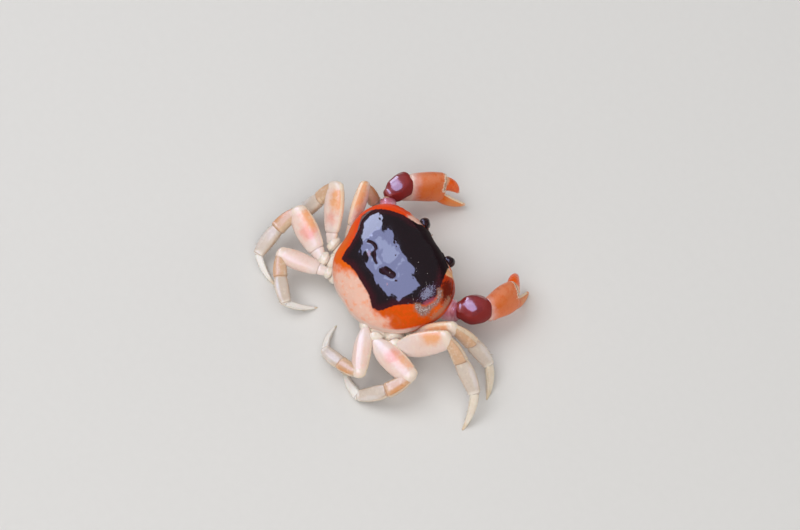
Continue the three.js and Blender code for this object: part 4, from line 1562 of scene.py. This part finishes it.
class Article(Enum):
    """The four long articles of a walking leg, from the body outwards."""

    MERUS = "merus"
    CARPUS = "carpus"
    PROPODUS = "propodus"
    DACTYLUS = "dactylus"

    @property
    def profile(self) -> tuple[Row, ...]:
        """Rows of (share of length, share of height, share of thickness)."""
        return {
            "merus": (
                (0, 0.46, 0.52), (0.14, 0.62, 0.66), (0.3, 0.82, 0.84), (0.6, 1, 1), (0.9, 0.88, 0.94),
                (1, 0.74, 0.85),
            ),
            "carpus": ((0, 0.66, 0.76), (0.3, 0.84, 0.9), (0.7, 1, 1), (0.93, 1, 1), (1, 0.96, 0.95)),
            "propodus": (
                (0, 0.84, 0.88), (0.08, 0.92, 0.94), (0.4, 1, 1), (0.8, 0.84, 0.88), (1, 0.68, 0.78),
            ),
            "dactylus": (
                (0, 0.86, 0.88), (0.3, 0.8, 0.84), (0.65, 0.56, 0.6), (0.9, 0.3, 0.34), (1, 0.18, 0.2),
            ),
        }[self.value]

    @property
    def noses(self) -> tuple[float, float]:
        """Lengths of its rounded ends."""
        return {
            "merus": (0.8, 1.9), "carpus": (0.9, 0.7), "propodus": (0.7, 0.7), "dactylus": (0.7, 0.3),
        }[self.value]

    @property
    def bow(self) -> float:
        """How far its middle is lifted."""
        return {"merus": -0.2, "carpus": 0.3, "propodus": 0.3, "dactylus": 0.9}[self.value]

    def relief(self, share: float, around: float) -> float:
        """Keels, furrows and collars of its surface, in millimetres."""
        up, out = math.cos(around), abs(math.sin(around))
        if self is Article.MERUS:
            keel = (
                0.28 * bell(around, 0.0, 0.3) * smooth(0.05, 0.3, share)
                + 0.14 * bell(abs(around), math.pi, 0.35)
            )
            granules = 0.05 * bell(around, 0.0, 0.35) * math.cos(share * 90)
            return keel + granules + dig(share, 0.94, 0.02, 0.1)
        if self is Article.CARPUS:
            ridges = 0.18 * bell(abs(around), 0.55, 0.2) - 0.14 * bell(around, 0.0, 0.28)
            return ridges * smooth(0.1, 0.4, share) + 0.14 * bell(share, 0.95, 0.04)
        if self is Article.PROPODUS:
            ridges = (
                0.14 * bell(abs(around), 0.5, 0.18) + 0.1 * bell(abs(around), 2.5, 0.2)
                - 0.12 * bell(out, 1.0, 0.05)
            )
            return (
                ridges * smooth(0.0, 0.2, share) * smooth(1.05, 0.9, share)
                + 0.12 * bell(share, 0.97, 0.03)
            )
        furrows = 0.10 * (math.cos(around * 4 + math.pi) + 0.4) * smooth(1.0, 0.6, share)
        return furrows - 0.08 * bell(up, 0.0, 0.2) * smooth(1.0, 0.7, share)


@dataclass
class WalkingLeg:
    """One walking leg, from its hip to the tip of its foot.

    Attributes:
        body: The form that it grows from.
        side: The side that it is on.
        pair: Its number, from 2 in front to 5 behind.
        bristles: The mesh that its stiff hairs join.
        random: Source of the hairs' small differences.
        full_thigh: Profile of the thighs on the right, whose short base article is hidden.
    """

    body: BodyForm
    side: Side
    pair: int
    bristles: Bristles
    random: random.Random
    full_thigh: tuple[Row, ...] = (
        (0, 0.44, 0.5), (0.08, 0.6, 0.64), (0.18, 0.78, 0.8), (0.35, 0.96, 0.95), (0.6, 1, 1),
        (0.88, 0.87, 0.93), (1, 0.72, 0.85),
    )

    def rods(self) -> dict[Article, Rod]:
        """Pose the leg's articles.

        Returns:
            Each article's rod.
        """
        pose, sizes = LEG_POSES[self.side][self.pair], LEG_SIZES[self.pair]
        starts = [on_side(self.body, self.side, pose.start)]
        axes = []
        for name in ("merus", "carpus", "propodus"):
            axes.append(heading(self.side, *getattr(pose, name)))
            starts.append(starts[-1] + axes[-1] * getattr(sizes, name)[0])
        fall = math.degrees(math.asin(starts[3].z / sizes.dactylus[0]))
        axes.append(heading(self.side, pose.dactylus, -fall))
        knee = axes[0].cross(axes[1]).normalized()
        ankle = axes[2].cross(axes[3]).normalized()
        hinges = [knee, knee, (knee + ankle).normalized(), ankle]
        made = {}
        for index, article in enumerate(Article):
            length, height, thickness = getattr(sizes, article.value)
            girth = pose.girth[index]
            squareness = 2.0 if article is Article.DACTYLUS else 2.4
            made[article] = Rod(
                starts[index], axes[index], axes[index].cross(hinges[index]).normalized(), length,
                (height * girth, thickness * girth), article.profile, article.noses, article.bow,
                squareness, article.relief,
            )
        thigh = made[Article.MERUS]
        if self.side is Side.LEFT:
            thigh.relief = (
                lambda share, around: Article.MERUS.relief(share, around) + dig(share, 0.17, 0.022, 0.3)
            )
        else:
            thigh.profile = self.full_thigh
        return made

    def build(self) -> None:
        """Make the leg's pieces."""
        rods = self.rods()
        self.build_hip()
        for article, rod in rods.items():
            self.build_article(article, rod)
        self.build_joints(list(rods.values()))
        self.grow_bristles(rods)

    def build_hip(self) -> None:
        """Make the two short articles that carry the leg."""
        pose = LEG_POSES[self.side][self.pair]
        start, end = (on_side(self.body, self.side, point) for point in (pose.hip, pose.start))
        width = LEG_SIZES[self.pair].merus[1] * 0.72
        piece = Piece(f"hip_{self.pair}_{self.side.value}")
        rows = (
            (0, 0.9, 0.9), (0.3, 1.16, 1.16), (0.58, 1.0, 1.0), (0.67, 0.74, 0.74), (0.82, 0.98, 0.98),
            (1, 0.8, 0.8),
        )
        rod = Rod(
            start, (end - start).normalized(), UP, (end - start).length, (width, width), rows, (0.8, 0.9),
            squareness=2.1,
            relief=lambda share, around: dig(share, 0.66, 0.035, 0.3) + 0.1 * bell(share, 0.55, 0.06),
        )
        seam, low = piece.layer("seam"), piece.layer("low")
        share = piece.layer("share")
        for vertex in rod.add_to(piece, 36, 48):
            vertex[seam] = bell(vertex[share], 0.665, 0.03) + bell(vertex[share], 0.12, 0.03)
            vertex[low] = -vertex[piece.layer("top")]
        piece.finish(LEG_FINISHES["hip"], "leg", [f"leg{self.pair}_{self.side.value}_hip"])

    def build_article(self, article: Article, rod: Rod) -> None:
        """Make one long article with its colour marks and, on the foot, its spines.

        Args:
            article: Which article it is.
            rod: Its posed form.
        """
        piece = Piece(f"{article.value}_{self.pair}_{self.side.value}")
        names = ("blush", "tip", "pale", "seam", "ridge", "low", "edge", "spine", "tan", "share", "top")
        blush, tip, pale, seam, ridge, low, edge, _, tan, share, top = (piece.layer(name) for name in names)
        base_seam = 0.17 if self.side is Side.LEFT else 0.0
        seams = {"merus": (base_seam,), "carpus": (0.0, 1.0), "propodus": (0.0, 1.0), "dactylus": (0.0,)}
        pair, tint = PAIR_TINTS[self.pair], LEG_TINTS[self.side][self.pair]
        for vertex in rod.add_to(piece, 40, 64):
            along, height = vertex[share], vertex[top]
            vertex[seam] = max(bell(along, place, 0.014) for place in seams[article.value])
            vertex[ridge] = bell(height, 1.0, 0.12)
            vertex[low] = max(0.0, -height)
            vertex[edge] = abs(height)
            vertex[tan] = max(pair.tan_least, smooth(pair.tan_from, 1.0, along))
            if article is Article.MERUS:
                vertex[blush] = tint.spot * bell(along, pair.spot_at, 0.2) * bell(height, 0.25, 0.9)
                vertex[pale] = tint.pale * smooth(0.9, 1.0, along)
                reach = smooth(tint.begins, 0.74, along) * max(smooth(1.05, 0.84, along), 1 - tint.pale)
                vertex[tip] = tint.far_end * reach * smooth(-0.6, 0.7, height)
            else:
                strength = tint.knee if article is Article.CARPUS else 1.0
                vertex[blush] = strength * smooth(-0.2, 0.8, height) * bell(along, 0.55, 0.5)
        if article is Article.DACTYLUS:
            self.add_spines(piece, rod)
            self.flatten_tip(piece)
        slot = "leg_tip" if article is Article.DACTYLUS else "leg"
        piece.finish(
            LEG_FINISHES[article.value], slot, [f"leg{self.pair}_{self.side.value}_{article.value}"]
        )

    def add_spines(self, piece: Piece, rod: Rod) -> None:
        """Set four rows of small dark spines on a foot.

        Args:
            piece: The foot.
            rod: Its form.
        """
        spine = piece.layer("spine")
        for row in range(4):
            around = math.pi * (0.25 + 0.5 * row)
            for step in range(9):
                along = rod.length * (0.12 + 0.085 * step + 0.02 * (row % 2))
                root = rod.at(along, around)
                out = (rod.outwards(along, around) * 0.75 + rod.axis * 0.65).normalized()
                size = 0.5 - 0.03 * step
                for vertex in add_cone(piece, root - out * 0.12, root + out * size, 0.15, 6):
                    vertex[spine] = 1.0

    def flatten_tip(self, piece: Piece) -> None:
        """Rest the foot on the floor."""
        for vertex in piece.bm.verts:
            vertex.co.z = max(vertex.co.z, 0.0)

    def build_joints(self, rods: list[Rod]) -> None:
        """Make the soft skin that shows between the plates.

        Args:
            rods: The leg's articles, from the body outwards.
        """
        piece = Piece(f"joint_skin_{self.pair}_{self.side.value}")
        for inner, outer in zip(rods, rods[1:]):
            axis = (inner.axis + outer.axis).normalized()
            size = [min(a, b) * 0.66 for a, b in zip(inner.size, outer.size)]
            start = outer.start - axis * 0.5
            skin = Rod(start, axis, outer.up, 1.0, tuple(size), SKIN_ROWS, (0.7, 0.7), squareness=2.1)
            skin.add_to(piece, 20, 16)
        piece.finish(JOINT_FINISH, "leg")

    def grow_bristles(self, rods: dict[Article, Rod]) -> None:
        """Grow stiff hairs along the margins of the long articles.

        Args:
            rods: Each article's rod.
        """
        column = (self.pair - 2 + (4 if self.side is Side.RIGHT else 0)) / 8
        for row, (article, count, length) in enumerate((
            (Article.CARPUS, 26, 0.8), (Article.PROPODUS, 46, 1.0), (Article.DACTYLUS, 36, 0.7),
            (Article.MERUS, 30, 0.7),
        )):
            rod = rods[article]
            for index in range(count):
                along = rod.length * (0.08 + 0.86 * self.random.random())
                around = (0.0 if index % 2 else math.pi) + self.random.gauss(0, 0.3)
                root = rod.at(along, around)
                lean = rod.axis * self.random.uniform(0.5, 1.0)
                out = (rod.outwards(along, around) + lean).normalized()
                reach = length * self.random.uniform(0.6, 1.2)
                if (root + out * reach).z < 0.05:
                    continue
                place = (
                    column + 0.01 + 0.1 * along / rod.length, 0.02 + 0.24 * row + 0.2 * (around + 1) / 6
                )
                self.bristles.add(root - out * 0.05, root + out * reach, 0.035, place)


# ---- claws ----


@dataclass(frozen=True)
class ClawPose:
    """How one claw is held: joints as (outwards, backwards, up), turns in degrees.

    Attributes:
        hip: Where the limb leaves the body.
        arm, elbow: Where its arm begins and ends.
        wrist: Middle of the wrist.
        palm: Where the palm begins.
        heading, pitch: Direction of the palm.
        lean: How far its top leans outwards.
        fixed_finger, finger: Inward and upward turns of the two fingers.
        base: Height of the palm's base against its greatest height.
        neck: Width of the wrist's palm end against its greatest width.
        heel: How far the palm's lower edge reaches back under the wrist.
        band: How far the palm's pale band is pushed back under the wrist.
        thick: Size of arm and movable finger against the other claw's.
    """

    hip: Row
    arm: Row
    elbow: Row
    wrist: Row
    palm: Row
    heading: float
    pitch: float
    lean: float
    fixed_finger: Row
    finger: Row
    base: float
    neck: float
    heel: float
    band: float
    thick: float


CLAW_POSES = {
    Side.LEFT: ClawPose(
        (13, -8, 8), (17, -7.6, 9.6), (26.8, -13.3, 12.8), (29.0, -19.4, 13.9), (28, -22.4, 13.2),
        -21, -14, 28, (6, -18), (-8, -34), 0.9, 0.86, 3.6, 0.0, 1.0,
    ),
    Side.RIGHT: ClawPose(
        (13, -8, 8), (16, -7.4, 9.6), (24.6, -13, 12.8), (27.2, -18.6, 13.6), (29.6, -22.4, 12.6),
        -10, -14, -32, (20, -8), (40, 4), 0.7, 0.62, 0.4, 2.4, 1.14,
    ),
}


@dataclass
class Claw:
    """One claw with its arm, wrist, palm and two fingers.

    Attributes:
        body: The form that it grows from.
        side: The side that it is on.
        arm, wrist: Height and thickness.
        palm, fixed_finger, finger: Length, height and thickness; `finger` is the movable one.
        skin: Size of the smallest detail kept where palm and finger blend.
        crown: Direction that the wrist's flatter upper face looks in.
    """

    body: BodyForm
    side: Side
    arm: Row = (7, 6.6)
    wrist: Row = (9.8, 9.5)
    palm: Row = (13.5, 11.7, 7.2)
    fixed_finger: Row = (11.5, 4.0, 3.7)
    finger: Row = (8.3, 5.2, 4.3)
    skin: float = 0.15
    crown: Row = (-0.06, 0.33, 0.94)

    def __post_init__(self) -> None:
        """Work out the claw's directions: along the palm, towards its finger edge and its inner face."""
        self.pose = CLAW_POSES[self.side]
        self.axis = heading(self.side, self.pose.heading, self.pose.pitch)
        outwards = UP.cross(self.axis).normalized() * self.side.sign
        upright = self.axis.cross(outwards) * self.side.sign
        tilt = math.radians(self.pose.lean)
        self.up = upright * math.cos(tilt) + outwards * math.sin(tilt)
        self.inner = self.up.cross(self.axis) * -self.side.sign

    def joint(self, name: str) -> Vector:
        """Model coordinates of a named joint of the pose."""
        return on_side(self.body, self.side, getattr(self.pose, name))

    def finger_rod(
        self, start: Vector, turns: Row, size: Row, bow: float, noses: Row, relief: Relief
    ) -> Rod:
        """A tapered finger as a rod.

        Args:
            start: Its root.
            turns: Inward and upward turn from the palm's direction.
            size: Length, height and thickness.
            bow: How far its middle is lifted towards the movable finger's side.
            noses: Lengths of its rounded ends.
            relief: Its furrows.

        Returns:
            The rod.
        """
        inwards, upwards = (math.radians(turn) for turn in turns)
        level = self.axis * math.cos(inwards) + self.inner * math.sin(inwards)
        along = level * math.cos(upwards) + self.up * math.sin(upwards)
        edge = (self.up - along * self.up.dot(along)).normalized()
        rows = ((0, 1, 1), (0.3, 0.95, 0.95), (0.65, 0.72, 0.75), (0.9, 0.42, 0.47), (1, 0.26, 0.3))
        return Rod(start, along, edge, size[0], size[1:], rows, noses, bow, 2.1, relief)

    def build(self) -> None:
        """Make the claw's pieces."""
        self.build_hip()
        self.build_arm()
        self.build_wrist()
        self.build_palm()
        self.build_finger()
        self.build_joints()

    def dress(self, piece: Piece, finish: Finish, slot: str, node: str) -> None:
        """Finish a piece that stands for one of the claw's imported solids."""
        piece.finish(finish, slot, [f"claw_{self.side.value}_{node}"])

    def build_hip(self) -> None:
        """Make the short article that carries the arm."""
        start, end = self.joint("hip"), self.joint("arm")
        width = self.arm[0] * 0.92
        piece = Piece(f"claw_hip_{self.side.value}")
        rows = ((0, 1, 1), (0.5, 1.06, 1.06), (1, 0.8, 0.8))
        rod = Rod(start, (end - start).normalized(), UP, (end - start).length, (width, width), rows)
        low = piece.layer("low")
        for vertex in rod.add_to(piece, 36, 40):
            vertex[low] = -vertex[piece.layer("top")]
        self.dress(piece, LEG_FINISHES["hip"], "leg", "hip")

    def build_arm(self) -> None:
        """Make the arm, three-sided with a granular upper edge."""
        start, end = self.joint("arm"), self.joint("elbow")
        piece = Piece(f"claw_arm_{self.side.value}")
        rows = ((0, 0.7, 0.95), (0.4, 0.94, 1.08), (0.85, 1, 1), (1, 0.88, 0.92))
        size = [share * self.pose.thick for share in self.arm]
        Rod(
            start, (end - start).normalized(), UP, (end - start).length, size, rows, (0.5, 1.2),
            squareness=2.2,
            relief=lambda share, around: 0.16 * math.cos(3 * around)
            + 0.08 * bell(around, 0, 0.4) * math.cos(share * 60) + dig(share, 0.9, 0.03, 0.2),
        ).add_to(piece, 44, 60)
        self.dress(piece, ARM_FINISH, "wrist", "arm")

    def build_wrist(self) -> None:
        """Make the rounded wrist."""
        elbow, palm = self.joint("elbow"), self.joint("palm")
        axis, length = (palm - elbow).normalized(), (palm - elbow).length
        piece = Piece(f"wrist_{self.side.value}")
        neck = self.pose.neck
        waist = (1 + neck) / 2 + 0.05
        rows = ((0, 0.6, 0.6), (0.22, 0.88, 0.88), (0.5, 1, 1), (0.8, waist, waist), (1, neck, neck))
        size = [share * self.pose.thick for share in self.wrist]

        def relief(share: float, around: float) -> float:
            """Low bumps, an uneven outline and a narrow collar where the palm begins."""
            bumps = noise.noise(Vector((share * 3, math.cos(around) * 1.6, math.sin(around) * 1.6)))
            return 0.28 * bumps + 0.16 * math.cos(3 * around + 0.6) + dig(share, 1.02, 0.03, 0.25)

        centre = self.joint("wrist")
        wrist = Rod(
            centre - axis * length / 2, axis, UP, length, size, rows, (1.8, 0.9), squareness=2.05,
            relief=relief,
        )
        share, dull = piece.layer("share"), piece.layer("dull")
        wrist.add_to(piece, 64, 72)
        crown = Vector(self.crown).normalized()
        for vertex in piece.bm.verts:
            above = (vertex.co - centre).dot(crown) - 0.36 * size[0]
            vertex.co -= crown * (0.5 * max(0.0, above))
            below = (centre - vertex.co).dot(self.up) / size[0]
            tuck = 0.4 * self.pose.heel * smooth(0.0, 0.45, below) * smooth(0.05, 0.5, vertex[share])
            beyond = max(0.0, (vertex.co - palm).dot(self.axis) - 0.7)
            vertex.co += self.up * tuck - self.axis * (0.7 * beyond)
        piece.bm.normal_update()
        for vertex in piece.bm.verts:
            level = math.copysign(vertex.normal.z, vertex.normal.z * vertex.normal.dot(vertex.co - centre))
            vertex[dull] = max(smooth(0.78, 0.55, level), smooth(0.8, 0.95, vertex[share]))
        self.dress(piece, WRIST_FINISH, "wrist", "wrist")

    def add_teeth(self, piece: Piece, rod: Rod, around: float) -> list[Vector]:
        """Set rounded teeth along a finger's biting edge.

        Args:
            piece: The piece that they join.
            rod: The finger.
            around: Angle of the biting edge round the finger.

        Returns:
            The places of the teeth.
        """
        places = []
        for step in range(9):
            share = 0.2 + 0.085 * step
            size = (0.5, 0.34, 0.62, 0.36, 0.44, 0.3, 0.4, 0.26, 0.28)[step]
            place = rod.at(share * rod.length, around)
            turn = rod.axis.to_track_quat("X", "Z").to_matrix().to_4x4()
            shape = Matrix.Diagonal((1.25, 0.9, 0.9, 1.0))
            bmesh.ops.create_icosphere(
                piece.bm, subdivisions=2, radius=size, matrix=Matrix.Translation(place) @ turn @ shape
            )
            places.append(place)
        return places

    def mark(
        self, piece: Piece, start: Vector, axis: Vector, length: float, teeth: Sequence[Vector]
    ) -> None:
        """Mark a blended mesh with the numbers that its finish reads.

        Args:
            piece: The piece.
            start: Where `share` is 0.
            axis: Direction of `share`.
            length: Distance over which it rises to 1.
            teeth: Places of the biting edge.
        """
        share, top, bite, hinge = (piece.layer(name) for name in ("share", "top", "bite", "hinge"))
        reach = self.palm[0]
        knuckle = self.joint("palm") + self.axis * reach
        for vertex in piece.bm.verts:
            place = vertex.co - start
            vertex[share] = place.dot(axis) / length
            vertex[top] = max(-1.0, min(1.0, place.dot(self.up) / (self.palm[1] / 2)))
            near = min((vertex.co - tooth).length for tooth in teeth)
            vertex[bite] = smooth(1.15, 0.5, near)
            from_knuckle = vertex.co - knuckle
            line = from_knuckle.dot(self.axis) - 0.12 * from_knuckle.dot(self.up)
            vertex[hinge] = bell(line, -0.45, 0.95) * smooth(-1.5, 0.5, from_knuckle.dot(self.up))

    def build_palm(self) -> None:
        """Make the palm and its fixed finger as one smooth plate with teeth."""
        length, height, thickness = self.palm
        start = self.joint("palm")
        piece = Piece(f"palm_{self.side.value}")
        base = self.pose.base
        rows = ((0, base, 0.84), (0.3, (1 + base) / 2, 1), (0.6, 1, 1), (0.9, 0.98, 0.86), (1, 0.9, 0.74))

        def relief(share: float, around: float) -> float:
            """A low keel along the top and a ring near the wrist."""
            return (
                0.12 * bell(around, 0.0, 0.3) + dig(share, 0.05, 0.03, 0.2)
                + 0.1 * bell(share, 0.12, 0.05)
            )

        rod = Rod(
            start, self.axis, self.up, length, (height, thickness), rows, (0.8, 0.6), 0.2, 2.3, relief
        )
        share, top = piece.layer("share"), piece.layer("top")
        for vertex in rod.add_to(piece, 60, 60):
            reach = smooth(0.35, 0.0, vertex[share]) * smooth(0.2, -0.9, vertex[top])
            vertex.co -= self.axis * (self.pose.heel * reach)
        root = start + self.axis * length * 0.86 - self.up * height * 0.3
        finger = self.finger_rod(
            root, self.pose.fixed_finger, self.fixed_finger, -0.9, (1.5, 0.3),
            lambda share, around: dig(abs(around), math.pi / 2, 0.16, 0.12),
        )
        finger.add_to(piece, 40, 60)
        teeth = self.add_teeth(piece, finger, 0.0)
        fuse(piece.bm, self.skin, 3)
        band = self.pose.band
        self.mark(piece, start - self.axis * band, self.axis, length + band, teeth)
        self.dress(piece, PALM_FINISH, "claw", "palm")

    def build_finger(self) -> None:
        """Make the movable finger with its teeth."""
        length, height, _ = self.palm
        root = self.joint("palm") + self.axis * length * 0.96 + self.up * height * 0.15
        size = [share * self.pose.thick for share in self.finger]
        finger = self.finger_rod(
            root, self.pose.finger, size, 0.9, (1.2, 0.6),
            lambda share, around: dig(abs(around), math.pi / 2, 0.16, 0.12) + 0.1 * bell(share, 0.02, 0.05),
        )
        piece = Piece(f"finger_{self.side.value}")
        finger.add_to(piece, 40, 60)
        teeth = self.add_teeth(piece, finger, math.pi)
        fuse(piece.bm, self.skin, 3)
        self.mark(piece, root, finger.axis, finger.length, teeth)
        self.dress(piece, FINGER_FINISH, "claw", "finger")

    def build_joints(self) -> None:
        """Make the soft skin at the elbow, the wrist and the knuckle."""
        piece = Piece(f"claw_joint_skin_{self.side.value}")
        knuckle = self.joint("palm") + self.axis * self.palm[0] * 0.95 + self.up * self.palm[1] * 0.2
        for place, axis, size in (
            (self.joint("elbow"), (self.joint("elbow") - self.joint("arm")).normalized(), 5.2),
            (self.joint("palm"), self.axis, 6.4), (knuckle, self.axis, 3.6),
        ):
            skin = Rod(place - axis * 0.8, axis, self.up, 1.6, (size, size * 0.85), SKIN_ROWS, (0.9, 0.9))
            skin.add_to(piece, 24, 20)
        piece.finish(JOINT_FINISH, "wrist")


# ---- studio ----


@dataclass(frozen=True)
class Panel:
    """A soft rectangular light.

    Attributes:
        name: Its name.
        towards: Direction from the animal to the panel.
        distance: Distance from the animal in metres.
        size: Width and depth in metres.
        radiance: Brightness of its face.
        colour: Linear colour.
        lights, shines: Whether it lights matte surfaces, and whether glossy ones mirror it.
    """

    name: str
    towards: Row
    distance: float
    size: tuple[float, float]
    radiance: float
    colour: Colour
    lights: bool = True
    shines: bool = True


@dataclass
class Studio:
    """Floor, soft light and camera.

    Attributes:
        body: The form that the camera looks at.
        bearing, elevation: The camera's; bearing 0 looks along +Y and 90 along -X.
        distance: Its distance from the body, in millimetres.
        lens: Focal length in millimetres on a 36 mm sensor.
        body_pixel: Where the body's centre falls in the image.
        panels: The lights.
    """

    body: BodyForm
    bearing: float = 240.5
    elevation: float = 63.0
    distance: float = 1200.0
    lens: float = 150.0
    body_pixel: tuple[float, float] = (392.3, 270.2)
    panels: tuple[Panel, ...] = (
        Panel("sky_panel", (0.28, 0.39, 0.88), 1.0, (1.0, 0.44), 3.7, (0.50, 0.56, 1.0), lights=False),
        Panel("left_panel", (0.84, 0.20, 0.50), 1.0, (0.54, 0.40), 5.6, (0.62, 0.68, 1.0), lights=False),
        Panel("bright_panel", (0.43, 0.32, 0.83), 0.97, (0.24, 0.16), 1.4, (0.7, 0.8, 1.0), lights=False),
        Panel("key", (0.45, 0.33, 0.82), 1.3, (0.9, 0.9), 2.3, (1.0, 0.98, 0.97), shines=False),
        Panel("dome", (0.0, 0.1, 1.0), 1.6, (3.2, 3.2), 0.80, (1.0, 0.98, 0.97), shines=False),
        Panel("side_fill", (-0.7, 0.45, 0.5), 1.6, (1.5, 1.5), 1.55, (1.0, 0.96, 0.90), shines=False),
        Panel("front_fill", (-0.2, -0.9, 0.3), 1.6, (0.9, 0.7), 1.6, (1.0, 0.98, 0.95), shines=False),
    )

    def build(self) -> None:
        """Set up the floor, the lights, the world and the camera."""
        self.build_floor()
        for panel in self.panels:
            self.hang(panel)
        self.build_world()
        self.build_camera()

    def build_floor(self) -> None:
        """Lay a plain pale floor."""
        bm = bmesh.new()
        bmesh.ops.create_grid(bm, x_segments=1, y_segments=1, size=3.0)
        mesh = bpy.data.meshes.new("floor")
        bm.to_mesh(mesh)
        bm.free()
        graph = Graph("floor_paint")
        colour = graph.blend(graph.noise(3.0), (0.70, 0.70, 0.69, 1), (0.72, 0.72, 0.71, 1))
        graph.tree.links.new(colour, graph.shader.inputs["Base Color"])
        graph.shader.inputs["Roughness"].default_value = 0.9
        mesh.materials.append(graph.material)
        floor = bpy.data.objects.new("floor", mesh)
        bpy.context.scene.collection.objects.link(floor)

    def hang(self, panel: Panel) -> None:
        """Hang a soft panel that faces the animal."""
        lamp = bpy.data.lights.new(panel.name, "AREA")
        lamp.shape = "RECTANGLE"
        lamp.size, lamp.size_y = panel.size
        lamp.energy = math.pi * panel.size[0] * panel.size[1] * panel.radiance
        lamp.color = panel.colour
        holder = bpy.data.objects.new(panel.name, lamp)
        back = Vector(panel.towards).normalized()
        along = (Vector((1, 0, 0)) - back * back.x).normalized()
        holder.location = self.body.centre * MM + back * panel.distance
        holder.rotation_euler = Matrix((along, back.cross(along), back)).transposed().to_euler()
        holder.visible_diffuse = panel.lights
        holder.visible_glossy = panel.shines
        bpy.context.scene.collection.objects.link(holder)

    def build_world(self) -> None:
        """Surround the studio with dim neutral light."""
        world = bpy.data.worlds.new("room")
        world.use_nodes = True
        background = world.node_tree.nodes["Background"]
        background.inputs["Color"].default_value = (0.93, 0.96, 1.0, 1.0)
        background.inputs["Strength"].default_value = 0.10
        bpy.context.scene.world = world
        bpy.context.scene.view_settings.view_transform = "Standard"

    def build_camera(self) -> None:
        """Place the camera so that the body's centre falls on its pixel."""
        width, height = IMAGE_SIZE
        sensor = 36.0
        pixels = self.lens / sensor * width
        a, e = math.radians(self.bearing), math.radians(self.elevation)
        back = Vector((math.sin(a) * math.cos(e), -math.cos(a) * math.cos(e), math.sin(e)))
        right = Vector((math.cos(a), math.sin(a), 0))
        top = back.cross(right)
        aside = (self.body_pixel[0] - width / 2) / pixels
        above = (height / 2 - self.body_pixel[1]) / pixels
        lens = bpy.data.cameras.new("camera")
        lens.lens, lens.sensor_width, lens.sensor_fit = self.lens, sensor, "HORIZONTAL"
        lens.clip_start, lens.clip_end = 0.05, 20.0
        camera = bpy.data.objects.new("camera", lens)
        camera.location = (self.body.centre + (back - right * aside - top * above) * self.distance) * MM
        camera.rotation_euler = Matrix((right, top, back)).transposed().to_euler()
        bpy.context.scene.collection.objects.link(camera)
        bpy.context.scene.camera = camera


def main() -> None:
    """Build the animal and its studio in order."""
    logging.basicConfig(level=logging.INFO, format="%(name)s %(message)s")
    body = BodyForm()
    Studio(body).build()
    Carapace(body).build()
    Trunk(body).build()
    TailPlate(body).build()
    head = Head(body)
    bristles = Bristles("bristles")
    chance = random.Random(7)
    for side in Side:
        head.build(side)
        Claw(body, side).build()
        for pair in LEG_SIZES:
            WalkingLeg(body, side, pair, bristles, chance).build()
    bristles.finish(HAIR_FINISH, "leg_tip")


if __name__ == "__main__":
    main()
